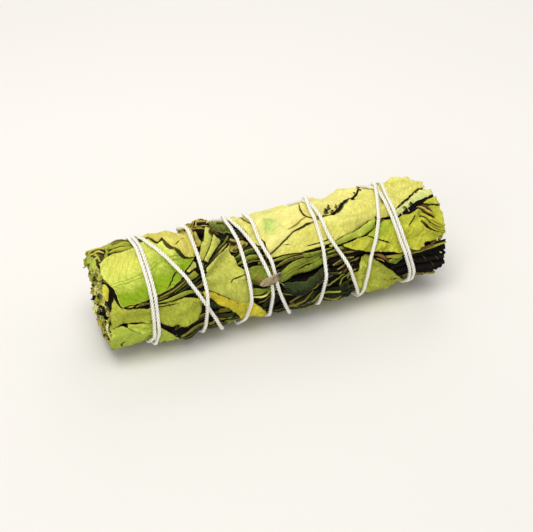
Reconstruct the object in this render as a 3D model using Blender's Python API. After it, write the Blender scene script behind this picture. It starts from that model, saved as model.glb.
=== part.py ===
"""A bunch of dried sage, bound with one cotton string, lying on its side.

The bunch lies along X with its cut ends at -X. Places on it are given as a station along X in
millimetres, an angle round the axis in degrees (0 on top, 90 towards -Y, 180 underneath), and a
layer height above the packed inner leaves. Every leaf is laid over what is already there, as when
the bunch is rolled, and the string goes round all of it last.
"""

import math

import bmesh
import bpy
import numpy as np

MM = 0.001

# Driving dimensions, in millimetres
BUNCH_LENGTH = 102.0
BUNCH_RADIUS = 15.5
AXIS_HEIGHT = 15.2
AXIS_Y = -0.25
CORE_RADIUS = 12.0
CORE_HALF_LENGTH = 46.5
CORE_CLEARANCE = 0.25
LEAF_THICKNESS = 0.6
LAYER_GAP = 0.25
STRING_DIAMETER = 1.1
STRING_GAP = 0.35
TAPER_START = 40.0
TAPER_DEPTH = 1.0
PINCH_DEPTH = 0.85
PINCH_REACH = 5.2

# The pressed underside: a layer of this radius touches the surface, inner ones stay above it
PRESSED_RADIUS = 17.3
STRING_CLEAR_OF_SURFACE = 0.1

# Facet sizes, in millimetres and degrees
LEAF_STEP_ALONG = 4.4
LEAF_STEP_ACROSS = 3.8
STRING_STEP_DEGREES = 15.0
STRING_BEVEL_RESOLUTION = 1

# The map of how thick the bunch is so far: stations by angles
MAP_STEP_X = 0.5
MAP_STEP_ANGLE = 2.0
MAP_HALF_LENGTH = 60.0
MM_PER_DEGREE = math.radians(1) * 14.0

SEED = 20

COLOURS = {
    "pale_yellow": (0.76, 0.70, 0.25),
    "yellow_green": (0.50, 0.49, 0.10),
    "green": (0.36, 0.42, 0.07),
    "olive": (0.30, 0.33, 0.09),
    "pale_green": (0.50, 0.56, 0.22),
    "ochre": (0.52, 0.40, 0.06),
    "dark_green": (0.09, 0.13, 0.03),
    "dark_brown": (0.05, 0.035, 0.02),
    "inner": (0.10, 0.11, 0.03),
    "stem": (0.45, 0.38, 0.18),
    "bark": (0.36, 0.28, 0.20),
    "cotton": (0.85, 0.83, 0.74),
}

# The string's route as (angle, station), one list for each turn round the bunch: it starts at the
# knot, goes to the tip of the bunch and comes back
STRING_TURNS = [
    [(-128, -40.6), (-110, -39.7), (-36, -39.6), (50, -39.5), (140, -39.5), (235, -39.4)],
    [(-36, -38.2), (50, -38.1), (140, -38.1), (235, -38.0)],
    [(-36, -36.8), (-10, -36.0), (22, -32.2), (54, -28.2), (74, -25.4), (109, -21), (140, -17.8),
     (158, -17.0), (180, -17.4), (215, -17.4)],
    [(-36, -12.7), (-18, -10.2), (0, -9.3), (31, -7), (64, -4.9), (90, -4.1), (125, -3.9),
     (180, -3.2), (215, -1.6)],
    [(-36, 13), (3, 14.4), (40, 15.4), (74, 19), (95, 21), (139, 25), (160, 26.6), (190, 28.4),
     (230, 31)],
    [(-36, 34.6), (-14, 36.0), (15, 35.6), (40, 35.6), (80, 37.4), (102, 39.2), (140, 40.3),
     (230, 40.5)],
    [(-36, 39.4), (15, 37.0), (40, 37.0), (80, 38.8), (102, 40.6), (140, 41.7), (230, 41.9)],
    [(-60, 40.2), (-36, 37.6), (-14, 35.9), (4, 34.2), (45, 30), (81, 26.3), (105, 25.3), (139, 25),
     (162, 24.6), (190, 22.6), (230, 19.5)],
    [(-36, 15.2), (3, 12.9), (41, 12.8), (85, 12), (139, 11), (162, 10.4), (190, 8.4), (225, 6.6)],
    [(-36, -3.8), (5, -5), (24, -5.0), (56, -3.4), (80, -2.6), (111, 0), (140, 3.2), (160, 4.6),
     (185, 4.0), (215, 1.0)],
    [(-36, -10.4), (-15, -11.4), (5, -11.4), (46, -11), (100, -11), (135, -12), (180, -13),
     (215, -14.6)],
    [(-36, -24), (34, -23.4), (91, -24), (140, -24.2), (160, -24.5), (185, -26.4), (225, -32.6),
     (243, -36.0)],
]

# The overhand knot on the far side: its middle, its size, and the way its loose end goes, as
# steps along the bunch, round it and away from it
KNOT_ANGLE = 262.0
KNOT_STATION = -38.2
KNOT_SCALE = 0.82
KNOT_SWING = 0.75
KNOT_ABOVE_STRING = 1.95
KNOT_ENTRY = [(1.6, -4.9, -1.2), (1.35, -3.5, 0.1)]
KNOT_TAIL = [(-1.7, -3.5, -1.2), (-3.0, -4.7, -1.75), (-4.8, -5.6, -1.75)]

# Slender folded leaves that stand up from the packed ones: (station, angle) of both ends, width
SLENDER_FOLDS = [
    ((-39, 70), (-22, 74), 3.4),
    ((-38, 62), (-24, 46), 3.0),
    ((-24, 104), (-12, 76), 2.6),
    ((-14, 50), (-2, 26), 2.6),
    ((-14, 60), (-2, 36), 2.4),
    ((-22, 46), (-11, 10), 2.6),
    ((-6, 50), (21, 50), 2.6),
    ((13, 53), (33, 36), 3.0),
    ((24, 76), (50, 77), 2.6),
    ((-22, 120), (-4, 96), 2.4),
    ((2, 114), (14, 84), 2.4),
    ((12, 106), (22, 76), 3.4),
    ((5, 130), (25, 112), 2.6),
    ((-12, 132), (8, 100), 2.2),
    ((26, 120), (44, 96), 2.6),
]

# Leaves laid by hand, deepest first: name, colour, and two edges as (station, angle), each from
# the leaf's broad end to its tip, and how far its free edges stand up
HAND_LAID = [
    ("leaf_dark_end", "dark_brown",
     [(33, 82), (41, 82), (51.5, 84)], [(33, 108), (41, 120), (51, 124)], 0.0),
    ("leaf_olive_mid", "olive",
     [(-13, 57), (-8, 56), (-2, 60)], [(-13, 75), (-8, 80), (-3, 78)], 0.0),
    ("leaf_green_mid", "green",
     [(-13, 78), (-7, 82), (-1, 86)], [(-13, 92), (-8, 95), (-2, 90)], 0.0),
    ("leaf_curved_green", "green",
     [(21, 58), (13, 54), (6, 59), (1, 67), (-3, 80)],
     [(21, 63), (13, 70), (8, 78), (4, 83), (-3, 84)], 0.2),
    ("leaf_top_strip", "yellow_green",
     [(-49, -20), (-44, -26), (-34, -26)], [(-49, 13), (-44, 4), (-34, -6)], 0.3),
    ("leaf_end_curl", "bark",
     [(-51.5, -36), (-48, -34), (-44, -26)], [(-51.5, 10), (-48, 8), (-44, -4)], 0.5),
    ("leaf_mossy_tip", "dark_green",
     [(-20, -36), (-13, -36), (-8, -26)], [(-20, -14), (-14, 6), (-9, 4)], 0.2),
    ("leaf_folded_left", "pale_green",
     [(-18.5, -10), (-21.5, 8), (-24, 34)], [(-16.5, -4), (-18.5, 12), (-21, 38)], 0.3),
    ("leaf_folded_right", "pale_green",
     [(-15.5, -2), (-17.5, 12), (-20, 36)], [(-13, 6), (-14.5, 16), (-17, 38)], 0.3),
    ("leaf_long_yellow", "pale_yellow",
     [(35, -32), (27, -10), (13, 14), (1, 32), (-5, 42)],
     [(36, 24), (29, 36), (18, 46), (8, 50), (-4, 48)], 0.2),
    ("leaf_point_yellow", "pale_yellow",
     [(-1, -46), (-1, -10), (-4, 36)], [(-12, -46), (-9, -6), (-6, 30)], 0.2),
    ("leaf_broad_yellow", "pale_yellow",
     [(20, -56), (16, -30), (11, 4), (4, 28), (-3, 44)],
     [(-4, -56), (-5, -30), (-5, 0), (-5, 26), (-4, 43)], 0.3),
    ("leaf_ridge_yellow", "pale_yellow",
     [(37, -54), (37, -42), (33, -30), (26, -8), (16, 13)],
     [(16, -54), (14, -42), (12, -20), (11, 0), (13, 16)], 0.3),
    ("leaf_slim_strip", "pale_green",
     [(51.5, 2), (47, 0), (42, 18), (35, 34)], [(51.5, 14), (49, 20), (44, 28), (36, 38)], 0.3),
    ("leaf_crumpled_end", "yellow_green",
     [(51.5, 22), (43, 30), (35, 33), (27, 40), (18, 54)],
     [(51.5, 68), (47, 75), (37, 77), (27, 69), (19, 57)], 0.4),
    ("leaf_right_shoulder", "pale_yellow",
     [(51.5, -36), (44, -36), (35, -34)], [(51.5, -2), (45, 11), (34, 18)], 0.4),
    ("leaf_lower_left", "green",
     [(-51, 88), (-45, 92), (-40, 104), (-35, 122), (-31, 140)],
     [(-51, 130), (-46, 144), (-40, 150), (-35, 152), (-30, 146)], 0.2),
    ("leaf_slim_left", "yellow_green",
     [(-47, 86), (-41, 91), (-36, 104), (-31, 128), (-29, 144)],
     [(-47, 92), (-42, 104), (-38, 116), (-34, 132), (-30, 148)], 0.1),
    ("leaf_olive_left", "olive",
     [(-51, 50), (-44, 60), (-36, 68), (-28, 72), (-23, 80)],
     [(-51, 89), (-45, 88), (-38, 95), (-30, 103), (-23, 86)], 0.2),
    ("leaf_green_left", "green",
     [(-51, 13), (-44, 2), (-37, -4), (-31, 4), (-24, 26)],
     [(-48, 66), (-42, 65), (-36, 60), (-30, 48), (-23, 30)], 0.4),
    ("leaf_yellow_left", "yellow_green",
     [(-37, -42), (-30, -46), (-23, -38), (-19, -18)],
     [(-36, -12), (-31, 4), (-27, 20), (-22, 16)], 0.3),
    ("leaf_ochre", "ochre",
     [(-24, 66), (-17, 76), (-12, 92), (-8, 110), (-3, 144)],
     [(-24, 76), (-19, 91), (-15, 108), (-11, 130), (-5, 148)], 0.2),
    ("leaf_pale_square", "pale_green",
     [(-22, 46), (-18, 37), (-14, 29)], [(-23, 67), (-18, 79), (-11, 91)], 0.4),
    ("leaf_triangle_low", "olive",
     [(26, 140), (23, 114), (22, 88), (24, 72)], [(41, 138), (37, 114), (31, 88), (26, 71)], 0.3),
]

# Leaves on the far side and underneath, in rows along the bunch
ROW_ANGLES = (168, 212, 256, 300)
ROW_STATIONS = (-33, 0, 33)
ROW_COLOURS = ("olive", "pale_yellow", "green", "yellow_green", "pale_green", "olive", "ochre")
ROW_LEAF_LENGTH = 44.0
ROW_LEAF_WIDTH = 16.0

# Leaves that puff out between the turns of string underneath, and touch the surface
UNDERSIDE_STATIONS = (-33.2, -8.2, 34.0)
UNDERSIDE_LENGTH = 30.0
UNDERSIDE_WIDTH = 13.0
UNDERSIDE_STEP = 2.3
REST_SPOT_HALF_LENGTH = 2.3
REST_SPOT_REACH = 4.2
REST_SPOT_HALF_ANGLE = 16.0

# Cut stems in the middle of the bunch: radius from the axis, angle, diameter
STEMS = [(2.0, 20, 2.6), (3.2, 140, 2.2), (3.0, 260, 2.4)]
STEM_LENGTH = 16.0
STEM_CLEARANCE = 0.3
STEM_SIDES = 8

# Rings of leaf ends at the cut end, round the stems, and at the tips: radius, number of pieces
CUT_END_RINGS = ((10.6, 7), (8.6, 6), (6.6, 5))
TIP_END_RINGS = ((10.6, 7), (8.4, 6), (6.0, 4), (3.4, 3))
BLADE_ROOT_DEPTH = 1.4

# A scrap of dried leaf that lies over the string: two edges as (station, angle)
SCRAP_EDGES = ([(-8.0, 71), (-5.0, 68), (-1.0, 64)], [(-7.6, 77), (-4.6, 76), (-1.0, 71)])


def clear_scene():
    """Removes the startup objects."""
    for obj in list(bpy.data.objects):
        bpy.data.objects.remove(obj, do_unlink=True)


def make_materials():
    """One plain Principled material for each colour."""
    made = {}
    for name, rgb in COLOURS.items():
        material = bpy.data.materials.new(name)
        material.use_nodes = True
        shader = material.node_tree.nodes["Principled BSDF"]
        shader.inputs["Base Color"].default_value = (*rgb, 1.0)
        shader.inputs["Roughness"].default_value = 0.8
        shader.inputs["Metallic"].default_value = 0.0
        made[name] = material
    return made


def hermite(knots, values, slopes, where):
    """A smooth curve through the values at the knots, read where it is asked for."""
    at = np.clip(np.searchsorted(knots, where, side="right") - 1, 0, len(knots) - 2)
    width = knots[at + 1] - knots[at]
    t = (where - knots[at]) / width
    if values.ndim > 1:
        t, width = t[:, None], width[:, None]
    return (
        (2 * t**3 - 3 * t**2 + 1) * values[at]
        + (t**3 - 2 * t**2 + t) * width * slopes[at]
        + (3 * t**2 - 2 * t**3) * values[at + 1]
        + (t**3 - t**2) * width * slopes[at + 1]
    )


def curve_through(points, count):
    """A smooth curve through the points, read at count even steps of its length."""
    points = np.array(points, float)
    span = np.r_[0, np.cumsum(np.linalg.norm(np.diff(points, axis=0), axis=1))]
    slopes = np.gradient(points, span, axis=0)
    smooth = hermite(span, points, slopes, np.linspace(0, span[-1], 40 * len(points)))
    run = np.r_[0, np.cumsum(np.linalg.norm(np.diff(smooth, axis=0), axis=1))]
    even = np.linspace(0, run[-1], count)
    return np.stack([np.interp(even, run, smooth[:, i]) for i in range(points.shape[1])], axis=1)


class StringRoute:
    """The string's way round the bunch, as stations over an angle that keeps growing."""

    def __init__(self):
        turned = [(angle + 360 * k, station)
                  for k, turn in enumerate(STRING_TURNS) for angle, station in turn]
        self.angles = np.array([p[0] for p in turned], float)
        self.stations = np.array([p[1] for p in turned], float)
        self.slopes = np.gradient(self.stations, self.angles)

    def station(self, angle):
        """The station of the string at an angle that keeps growing."""
        return hermite(self.angles, self.stations, self.slopes, np.asarray(angle, float))


class Layers:
    """A map of the bunch: how far out the outermost layer reaches at each station and angle."""

    def __init__(self, height):
        self.stations = np.arange(-MAP_HALF_LENGTH, MAP_HALF_LENGTH + MAP_STEP_X, MAP_STEP_X)
        self.angles = np.arange(0, 360, MAP_STEP_ANGLE)
        self.top = np.zeros((len(self.stations), len(self.angles))) + height

    def read(self, station, angle):
        """The map's value between its cells."""
        u = (np.asarray(station) + MAP_HALF_LENGTH) / MAP_STEP_X
        u = np.clip(u, 0, self.top.shape[0] - 1.001)
        v = (np.asarray(angle) % 360) / MAP_STEP_ANGLE
        i, j = np.floor(u).astype(int), np.floor(v).astype(int) % self.top.shape[1]
        fu, fv = u - i, v - np.floor(v)
        k = (j + 1) % self.top.shape[1]
        low = self.top[i, j] * (1 - fv) + self.top[i, k] * fv
        high = self.top[i + 1, j] * (1 - fv) + self.top[i + 1, k] * fv
        return low * (1 - fu) + high * fu

    def widened(self, reach):
        """A map of the greatest value within reach, in millimetres, of each cell."""
        return self._over(reach, np.max)

    def blurred(self, reach):
        """A map of the mean within reach, in millimetres, of each cell."""
        return self._over(reach, np.mean)

    def _over(self, reach, measure):
        rows = shifted(self.top, int(round(reach / MAP_STEP_X)), 0)
        turns = int(round(reach / MM_PER_DEGREE / MAP_STEP_ANGLE))
        return Layers(measure(shifted(measure(rows, axis=0), turns, 1), axis=0))

    def lay(self, station, angle, top):
        """Raises the map to the outer face of a laid grid."""
        station, angle, top = (refine(value, 10) for value in (station, angle, top))
        i = np.rint((station + MAP_HALF_LENGTH) / MAP_STEP_X).astype(int)
        j = np.rint((angle % 360) / MAP_STEP_ANGLE).astype(int) % len(self.angles)
        np.maximum.at(self.top, (np.clip(i, 0, len(self.stations) - 1), j), top)


def shifted(values, steps, axis):
    """The map moved by each of up to so many cells both ways."""
    return np.stack([np.roll(values, k, axis=axis) for k in range(-steps, steps + 1)])


def refine(values, parts):
    """A grid read at so many even parts of each of its cells."""
    rows, columns = values.shape
    return line_shares(rows, parts) @ values @ line_shares(columns, parts).T


def line_shares(count, parts):
    """The shares of a grid's lines in each fine line between them."""
    where = np.linspace(0, count - 1, (count - 1) * parts + 1)
    low = np.minimum(where.astype(int), count - 2)
    shares = np.zeros((len(where), count))
    shares[np.arange(len(where)), low] = 1 - (where - low)
    shares[np.arange(len(where)), low + 1] = where - low
    return shares


def folds_height(station, angle):
    """The packed inner leaves' relief: long folds that run along the bunch and lean a little."""
    lean = angle + 0.25 * station
    wide = 0.16 * np.cos(np.radians(5 * lean + 2 * station))
    return 0.30 * np.cos(np.radians(12 * lean)) + wide


class Shape:
    """The bunch's outer form, which turns stations, angles and layer heights into points."""

    def __init__(self, layers, route):
        stack = layers.widened(3.0).blurred(5.0).blurred(4.0)
        past = np.abs(stack.stations) - TAPER_START
        past = np.clip(past / (BUNCH_LENGTH / 2 - TAPER_START), 0, 1.2)
        taper = TAPER_DEPTH * past[:, None] ** 2
        self.base = Layers(BUNCH_RADIUS - stack.top - taper - pinch(route))

    def radius(self, station, angle, height):
        """True distance from the axis, where the packed inner leaves end at height nought."""
        return self.base.read(station, angle) + height

    def place(self, station, angle, radius):
        """World points in metres, with the underside pressed flat layer by layer."""
        turn = np.radians(angle)
        z = np.maximum(AXIS_HEIGHT + radius * np.cos(turn), PRESSED_RADIUS - radius)
        y = AXIS_Y - radius * np.sin(turn)
        return np.stack(np.broadcast_arrays(station, y, z), axis=-1) * MM


def pinch(route):
    """How far the string draws the bunch in, for each cell of the map."""
    grid = Layers(0.0)
    nearest = np.full(grid.top.shape, 99.0)
    fine = np.arange(route.angles[0], route.angles[-1], 2.0)
    for angle, station in zip(fine, route.station(fine)):
        off = (grid.angles - angle + 180) % 360 - 180
        close = np.abs(off) < 40
        reach = np.hypot(grid.stations[:, None] - station, off[None, close] * MM_PER_DEGREE)
        nearest[:, close] = np.minimum(nearest[:, close], reach)
    return PINCH_DEPTH * np.exp(-((nearest / PINCH_REACH) ** 2))


class Leaf:
    """One leaf of the wrap, as a grid between its two edges laid over the layers so far."""

    def __init__(self, name, colour, edge_a, edge_b, lift,
                 along=LEAF_STEP_ALONG, across=LEAF_STEP_ACROSS):
        self.name = name
        self.colour = colour
        self.lift = lift
        scale = np.array([1.0, MM_PER_DEGREE])
        a, b = np.array(edge_a, float) * scale, np.array(edge_b, float) * scale
        length = max(np.linalg.norm(np.diff(edge, axis=0), axis=1).sum() for edge in (a, b))
        rows = max(3, int(round(length / along)) + 1)
        a, b = curve_through(a, rows), curve_through(b, rows)
        width = np.linalg.norm(a - b, axis=1).max()
        share = np.linspace(0, 1, max(2, int(round(width / across)) + 1))[None, :, None]
        grid = (a[:, None, :] * (1 - share) + b[:, None, :] * share) / scale
        self.station, self.angle = grid[..., 0], grid[..., 1]
        self.inner = None

    def wave_edges(self, seed):
        """Cut or waved edges: the rim points move in and out a little."""
        rows, columns = self.station.shape
        i, k = np.arange(rows), np.arange(columns)
        outward = np.sign(self.angle[:, -1] - self.angle[:, 0])
        self.angle[:, 0] += outward * 0.8 * np.sin(2.1 * i + seed)
        self.angle[:, -1] -= outward * 0.8 * np.sin(1.6 * i + seed)
        self.station[0, :] -= np.sign(self.station[0, :]) * 0.6 * (1 - np.sin(2.4 * k + seed))

    def lay(self, layers):
        """Finds the lowest stiff sheet that clears the layers so far, and adds it to them."""
        parts = 5
        ground = layers.widened(0.5)
        need = ground.read(refine(self.station, parts), refine(self.angle, parts)) + LAYER_GAP
        inner = ground.read(self.station, self.angle) + LAYER_GAP
        i = np.rint(np.arange(need.shape[0]) / parts).astype(int)[:, None]
        j = np.rint(np.arange(need.shape[1]) / parts).astype(int)[None, :]
        nearest = tuple(np.broadcast_arrays(i, j))
        for _ in range(40):
            raised = np.zeros_like(inner)
            np.maximum.at(raised, nearest, np.maximum(need - refine(inner, parts), 0))
            inner = inner + raised
        padded = np.pad(inner, 1, mode="edge")
        around = (padded[:-2, 1:-1] + padded[2:, 1:-1] + padded[1:-1, :-2] + padded[1:-1, 2:]) / 4
        inner = np.maximum(inner, around)
        rim = np.linspace(-1, 1, inner.shape[1])[None, :] ** 4
        end = np.linspace(1, 0, inner.shape[0])[:, None] ** 6
        self.inner = inner + self.lift * np.maximum(rim, end)
        layers.lay(self.station, self.angle, self.inner + LEAF_THICKNESS)

    def radii(self, shape):
        """True radii of the leaf's inner face."""
        return shape.radius(self.station, self.angle, self.inner)

    def build(self, shape, materials):
        """The leaf's own solid."""
        inner = self.radii(shape)
        faces = (shape.place(self.station, self.angle, inner),
                 shape.place(self.station, self.angle, inner + LEAF_THICKNESS))
        return add_object(self.name, blade_mesh(self.name, *faces), materials[self.colour])


class UndersideLeaf(Leaf):
    """A leaf that puffs out between two turns of string until it touches the surface."""

    def __init__(self, name, colour, edges, spot):
        super().__init__(name, colour, *edges, 0.0, UNDERSIDE_LENGTH / 100, UNDERSIDE_STEP)
        self.spot = spot
        rims = np.array([REST_SPOT_HALF_LENGTH, REST_SPOT_REACH]) / UNDERSIDE_LENGTH
        beyond = np.linspace(rims[1], 0.5, 5)[1:]
        near = np.r_[0.0, rims, beyond]
        rows = np.rint((0.5 + np.r_[-near[:0:-1], near]) * (len(self.station) - 1)).astype(int)
        self.station, self.angle = self.station[rows], self.angle[rows]

    def radii(self, shape):
        """The laid radii, raised round the rest spot so that its outer face touches."""
        laid = super().radii(shape)
        middle = self.station.shape[0] // 2
        rows = np.abs(np.arange(self.station.shape[0]) - middle)[:, None]
        beyond = np.abs(self.angle - 180) - REST_SPOT_HALF_ANGLE
        share = (rows <= 1) * np.clip(1 - beyond / 10, 0, 1)
        return laid + (PRESSED_RADIUS - LEAF_THICKNESS - laid) * share


def blade_mesh(name, inner_points, outer_points):
    """A closed blade between two grids of points, both faces split alike."""
    rows, columns = inner_points.shape[:2]
    count = rows * columns
    points = np.concatenate([outer_points.reshape(-1, 3), inner_points.reshape(-1, 3)])
    faces = []
    for i in range(rows - 1):
        for j in range(columns - 1):
            a = i * columns + j
            b = a + columns
            faces += [(a, b, b + 1), (a, b + 1, a + 1)]
            faces += [(count + a, count + b + 1, count + b)]
            faces += [(count + a, count + a + 1, count + b + 1)]
    rim = [i * columns for i in range(rows)]
    rim += [(rows - 1) * columns + j for j in range(1, columns)]
    rim += [i * columns + columns - 1 for i in range(rows - 2, -1, -1)]
    rim += list(range(columns - 2, 0, -1))
    for a, b in zip(rim, rim[1:] + rim[:1]):
        faces += [(b, a, count + a), (b, count + a, count + b)]
    return closed_mesh(name, points.tolist(), faces)


def closed_mesh(name, points, faces):
    """A mesh of the faces, turned so that they point out."""
    mesh = bpy.data.meshes.new(name)
    mesh.from_pydata(points, [], faces)
    built = bmesh.new()
    built.from_mesh(mesh)
    bmesh.ops.recalc_face_normals(built, faces=built.faces)
    if built.calc_volume(signed=True) < 0:
        bmesh.ops.reverse_faces(built, faces=built.faces)
    built.to_mesh(mesh)
    built.free()
    return mesh


def add_object(name, data, material):
    """Links a mesh or a curve to the scene under its node's name."""
    data.materials.append(material)
    obj = bpy.data.objects.new(name, data)
    bpy.context.scene.collection.objects.link(obj)
    return obj


def lance_edges(station, angle, tilt, length, width):
    """The two edges of a lance-shaped leaf about a middle place, base to tip."""
    spots = np.linspace(0, 1, 6)
    half = 0.5 * width * np.sin(math.pi * (0.16 + 0.80 * spots)) ** 0.8
    along = (spots - 0.5) * length
    turn = math.radians(tilt)
    edges = []
    for across in (-half, half):
        x = station + along * math.cos(turn) - across * math.sin(turn)
        w = along * math.sin(turn) + across * math.cos(turn)
        edges.append([(a, angle + b / MM_PER_DEGREE) for a, b in zip(x, w)])
    return edges


def far_side_leaves():
    """Rows of leaves for the back and the underside, each turned and shifted by a seeded draw."""
    draw = np.random.default_rng(SEED)
    found = []
    for row, angle in enumerate(ROW_ANGLES):
        for column, station in enumerate(ROW_STATIONS):
            tilt = draw.uniform(-14, 14)
            length = ROW_LEAF_LENGTH * draw.uniform(0.88, 1.0)
            width = ROW_LEAF_WIDTH * draw.uniform(0.9, 1.1)
            limit = (BUNCH_LENGTH - length * math.cos(math.radians(tilt))) / 2 - 1.5
            middle = max(-limit, min(limit, station + draw.uniform(-4, 4)))
            if (row + column) % 2:
                tilt += 180
            edges = lance_edges(middle, angle + draw.uniform(-5, 5), tilt, length, width)
            colour = ROW_COLOURS[(3 * row + 2 * column) % len(ROW_COLOURS)]
            found.append(Leaf(f"leaf_back_{len(found) + 1:02d}", colour, *edges, 0.2))
    for k, station in enumerate(UNDERSIDE_STATIONS):
        edges = lance_edges(station, 181, 6 - 5 * k, UNDERSIDE_LENGTH, UNDERSIDE_WIDTH)
        found.append(UndersideLeaf(f"leaf_underside_{k + 1}", ROW_COLOURS[k], edges, station))
    return found


def core_mesh(shape):
    """The packed inner leaves and stems as one closed body with long folds."""
    stations = np.linspace(-CORE_HALF_LENGTH, CORE_HALF_LENGTH, 15)[:, None]
    angles = np.arange(0, 360, 7.5)[None, :]
    radii = shape.radius(stations, angles, folds_height(stations, angles) - CORE_CLEARANCE)
    points = [tuple(p) for p in shape.place(stations, angles, radii).reshape(-1, 3)]
    count = angles.shape[1]
    faces = []
    for i in range(len(stations) - 1):
        for j in range(count):
            a, b = i * count + j, i * count + (j + 1) % count
            faces.append((a, b, b + count, a + count))
    faces.append(tuple(range(count)))
    faces.append(tuple(range(len(points) - count, len(points))))
    return closed_mesh("inner_leaves", points, faces)


class Fold(Leaf):
    """A slender folded leaf that stands up from the packed ones, rooted in them."""

    def __init__(self, name, start, end, width):
        spots = np.linspace(0, 1, 4)[:, None]
        middle = np.array(start) * (1 - spots) + np.array(end) * spots
        half = np.array([0, width / 2 / MM_PER_DEGREE]) * np.sin(math.pi * (0.12 + 0.76 * spots))
        super().__init__(name, "inner", middle - half, middle + half, 0.0, 7.0, 1.6)
        crest = 0.5 * np.cos(np.linspace(-1.2, 1.2, self.station.shape[1]))[None, :]
        self.crest = np.broadcast_to(0.35 + crest, self.station.shape)

    def lay(self, layers):
        """Adds the fold's crest to the layers."""
        layers.lay(self.station, self.angle, self.crest)

    def mesh(self, shape):
        """The fold with its root sunk into the packed leaves."""
        root = shape.radius(self.station, self.angle, -1.2)
        outer = shape.radius(self.station, self.angle, self.crest)
        return blade_mesh(self.name, shape.place(self.station, self.angle, root),
                          shape.place(self.station, self.angle, outer))


def end_blades(shape, side):
    """Meshes of the leaf ends that stand out of the core at one end of the bunch."""
    draw = np.random.default_rng(SEED + (1 if side > 0 else 2))
    rings = CUT_END_RINGS if side < 0 else TIP_END_RINGS
    meshes = []
    for ring, pieces in rings:
        turn = draw.uniform(0, 360)
        share = 360 / pieces
        for k in range(pieces):
            sweep = share * draw.uniform(0.70, 0.86)
            cells = max(2, int(round(math.radians(sweep) * ring / 2.8)))
            i = np.arange(cells + 1)
            angle = np.tile(turn + k * share + np.linspace(0, sweep, cells + 1), (2, 1))
            tips = BUNCH_LENGTH / 2 - draw.uniform(0.2, 2.8) + 0.6 * np.sin(2.3 * i + k)
            roots = np.full(cells + 1, CORE_HALF_LENGTH - BLADE_ROOT_DEPTH)
            station = side * np.stack([roots, tips])
            bend = ring / CORE_RADIUS * shape.radius(station, angle, 0.0)
            bend = bend + 0.5 * np.sin(1.9 * i + draw.uniform(0, 6))
            faces = [shape.place(station, angle, bend + off)
                     for off in (-LEAF_THICKNESS / 2, LEAF_THICKNESS / 2)]
            meshes.append(blade_mesh(f"end_{ring}_{k}", *faces))
    return meshes


def stem_mesh(name, stem, slack):
    """A stem, or with slack the hole for it: a slim prism along X at the cut end."""
    from_axis, angle, diameter = stem
    start = -BUNCH_LENGTH / 2 + 1.0 - 10 * slack
    end = -BUNCH_LENGTH / 2 + STEM_LENGTH + slack
    turn = math.radians(angle)
    points = []
    for x in (start, end):
        for k in range(STEM_SIDES):
            bend = math.tau * k / STEM_SIDES
            y = AXIS_Y - from_axis * math.sin(turn) + (diameter / 2 + slack) * math.cos(bend)
            z = AXIS_HEIGHT + from_axis * math.cos(turn) + (diameter / 2 + slack) * math.sin(bend)
            points.append((x * MM, y * MM, z * MM))
    faces = [tuple(range(STEM_SIDES)), tuple(range(STEM_SIDES, 2 * STEM_SIDES))]
    for k in range(STEM_SIDES):
        after = (k + 1) % STEM_SIDES
        faces.append((k, after, STEM_SIDES + after, STEM_SIDES + k))
    return closed_mesh(name, points, faces)


def combine(base, meshes, operation):
    """Joins the meshes to the base object, or cuts them from it, with one applied Boolean."""
    extras = bpy.data.collections.new(base.name + "_repeats")
    bpy.context.scene.collection.children.link(extras)
    for mesh in meshes:
        extras.objects.link(bpy.data.objects.new(mesh.name, mesh))
    boolean = base.modifiers.new("combine", "BOOLEAN")
    boolean.operation = operation
    boolean.operand_type = "COLLECTION"
    boolean.collection = extras
    boolean.solver = "EXACT"
    graph = bpy.context.evaluated_depsgraph_get()
    combined = bpy.data.meshes.new_from_object(base.evaluated_get(graph))
    base.modifiers.clear()
    base.data = combined
    for obj in list(extras.objects):
        bpy.data.objects.remove(obj, do_unlink=True)
    bpy.data.collections.remove(extras)


def build_core(shape, folds, materials):
    """The packed inner leaves with their slender folds and their ends."""
    core = add_object("inner_leaves", core_mesh(shape), materials["inner"])
    repeats = [fold.mesh(shape) for fold in folds] + end_blades(shape, -1) + end_blades(shape, 1)
    combine(core, repeats, "UNION")
    holes = [stem_mesh(f"hole_{k}", stem, STEM_CLEARANCE) for k, stem in enumerate(STEMS)]
    combine(core, holes, "DIFFERENCE")


def build_stems(materials):
    """The cut stems, each in its own plain hole."""
    for k, stem in enumerate(STEMS):
        name = f"stem_{k + 1}"
        add_object(name, stem_mesh(name, stem, 0.0), materials["stem"])


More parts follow.
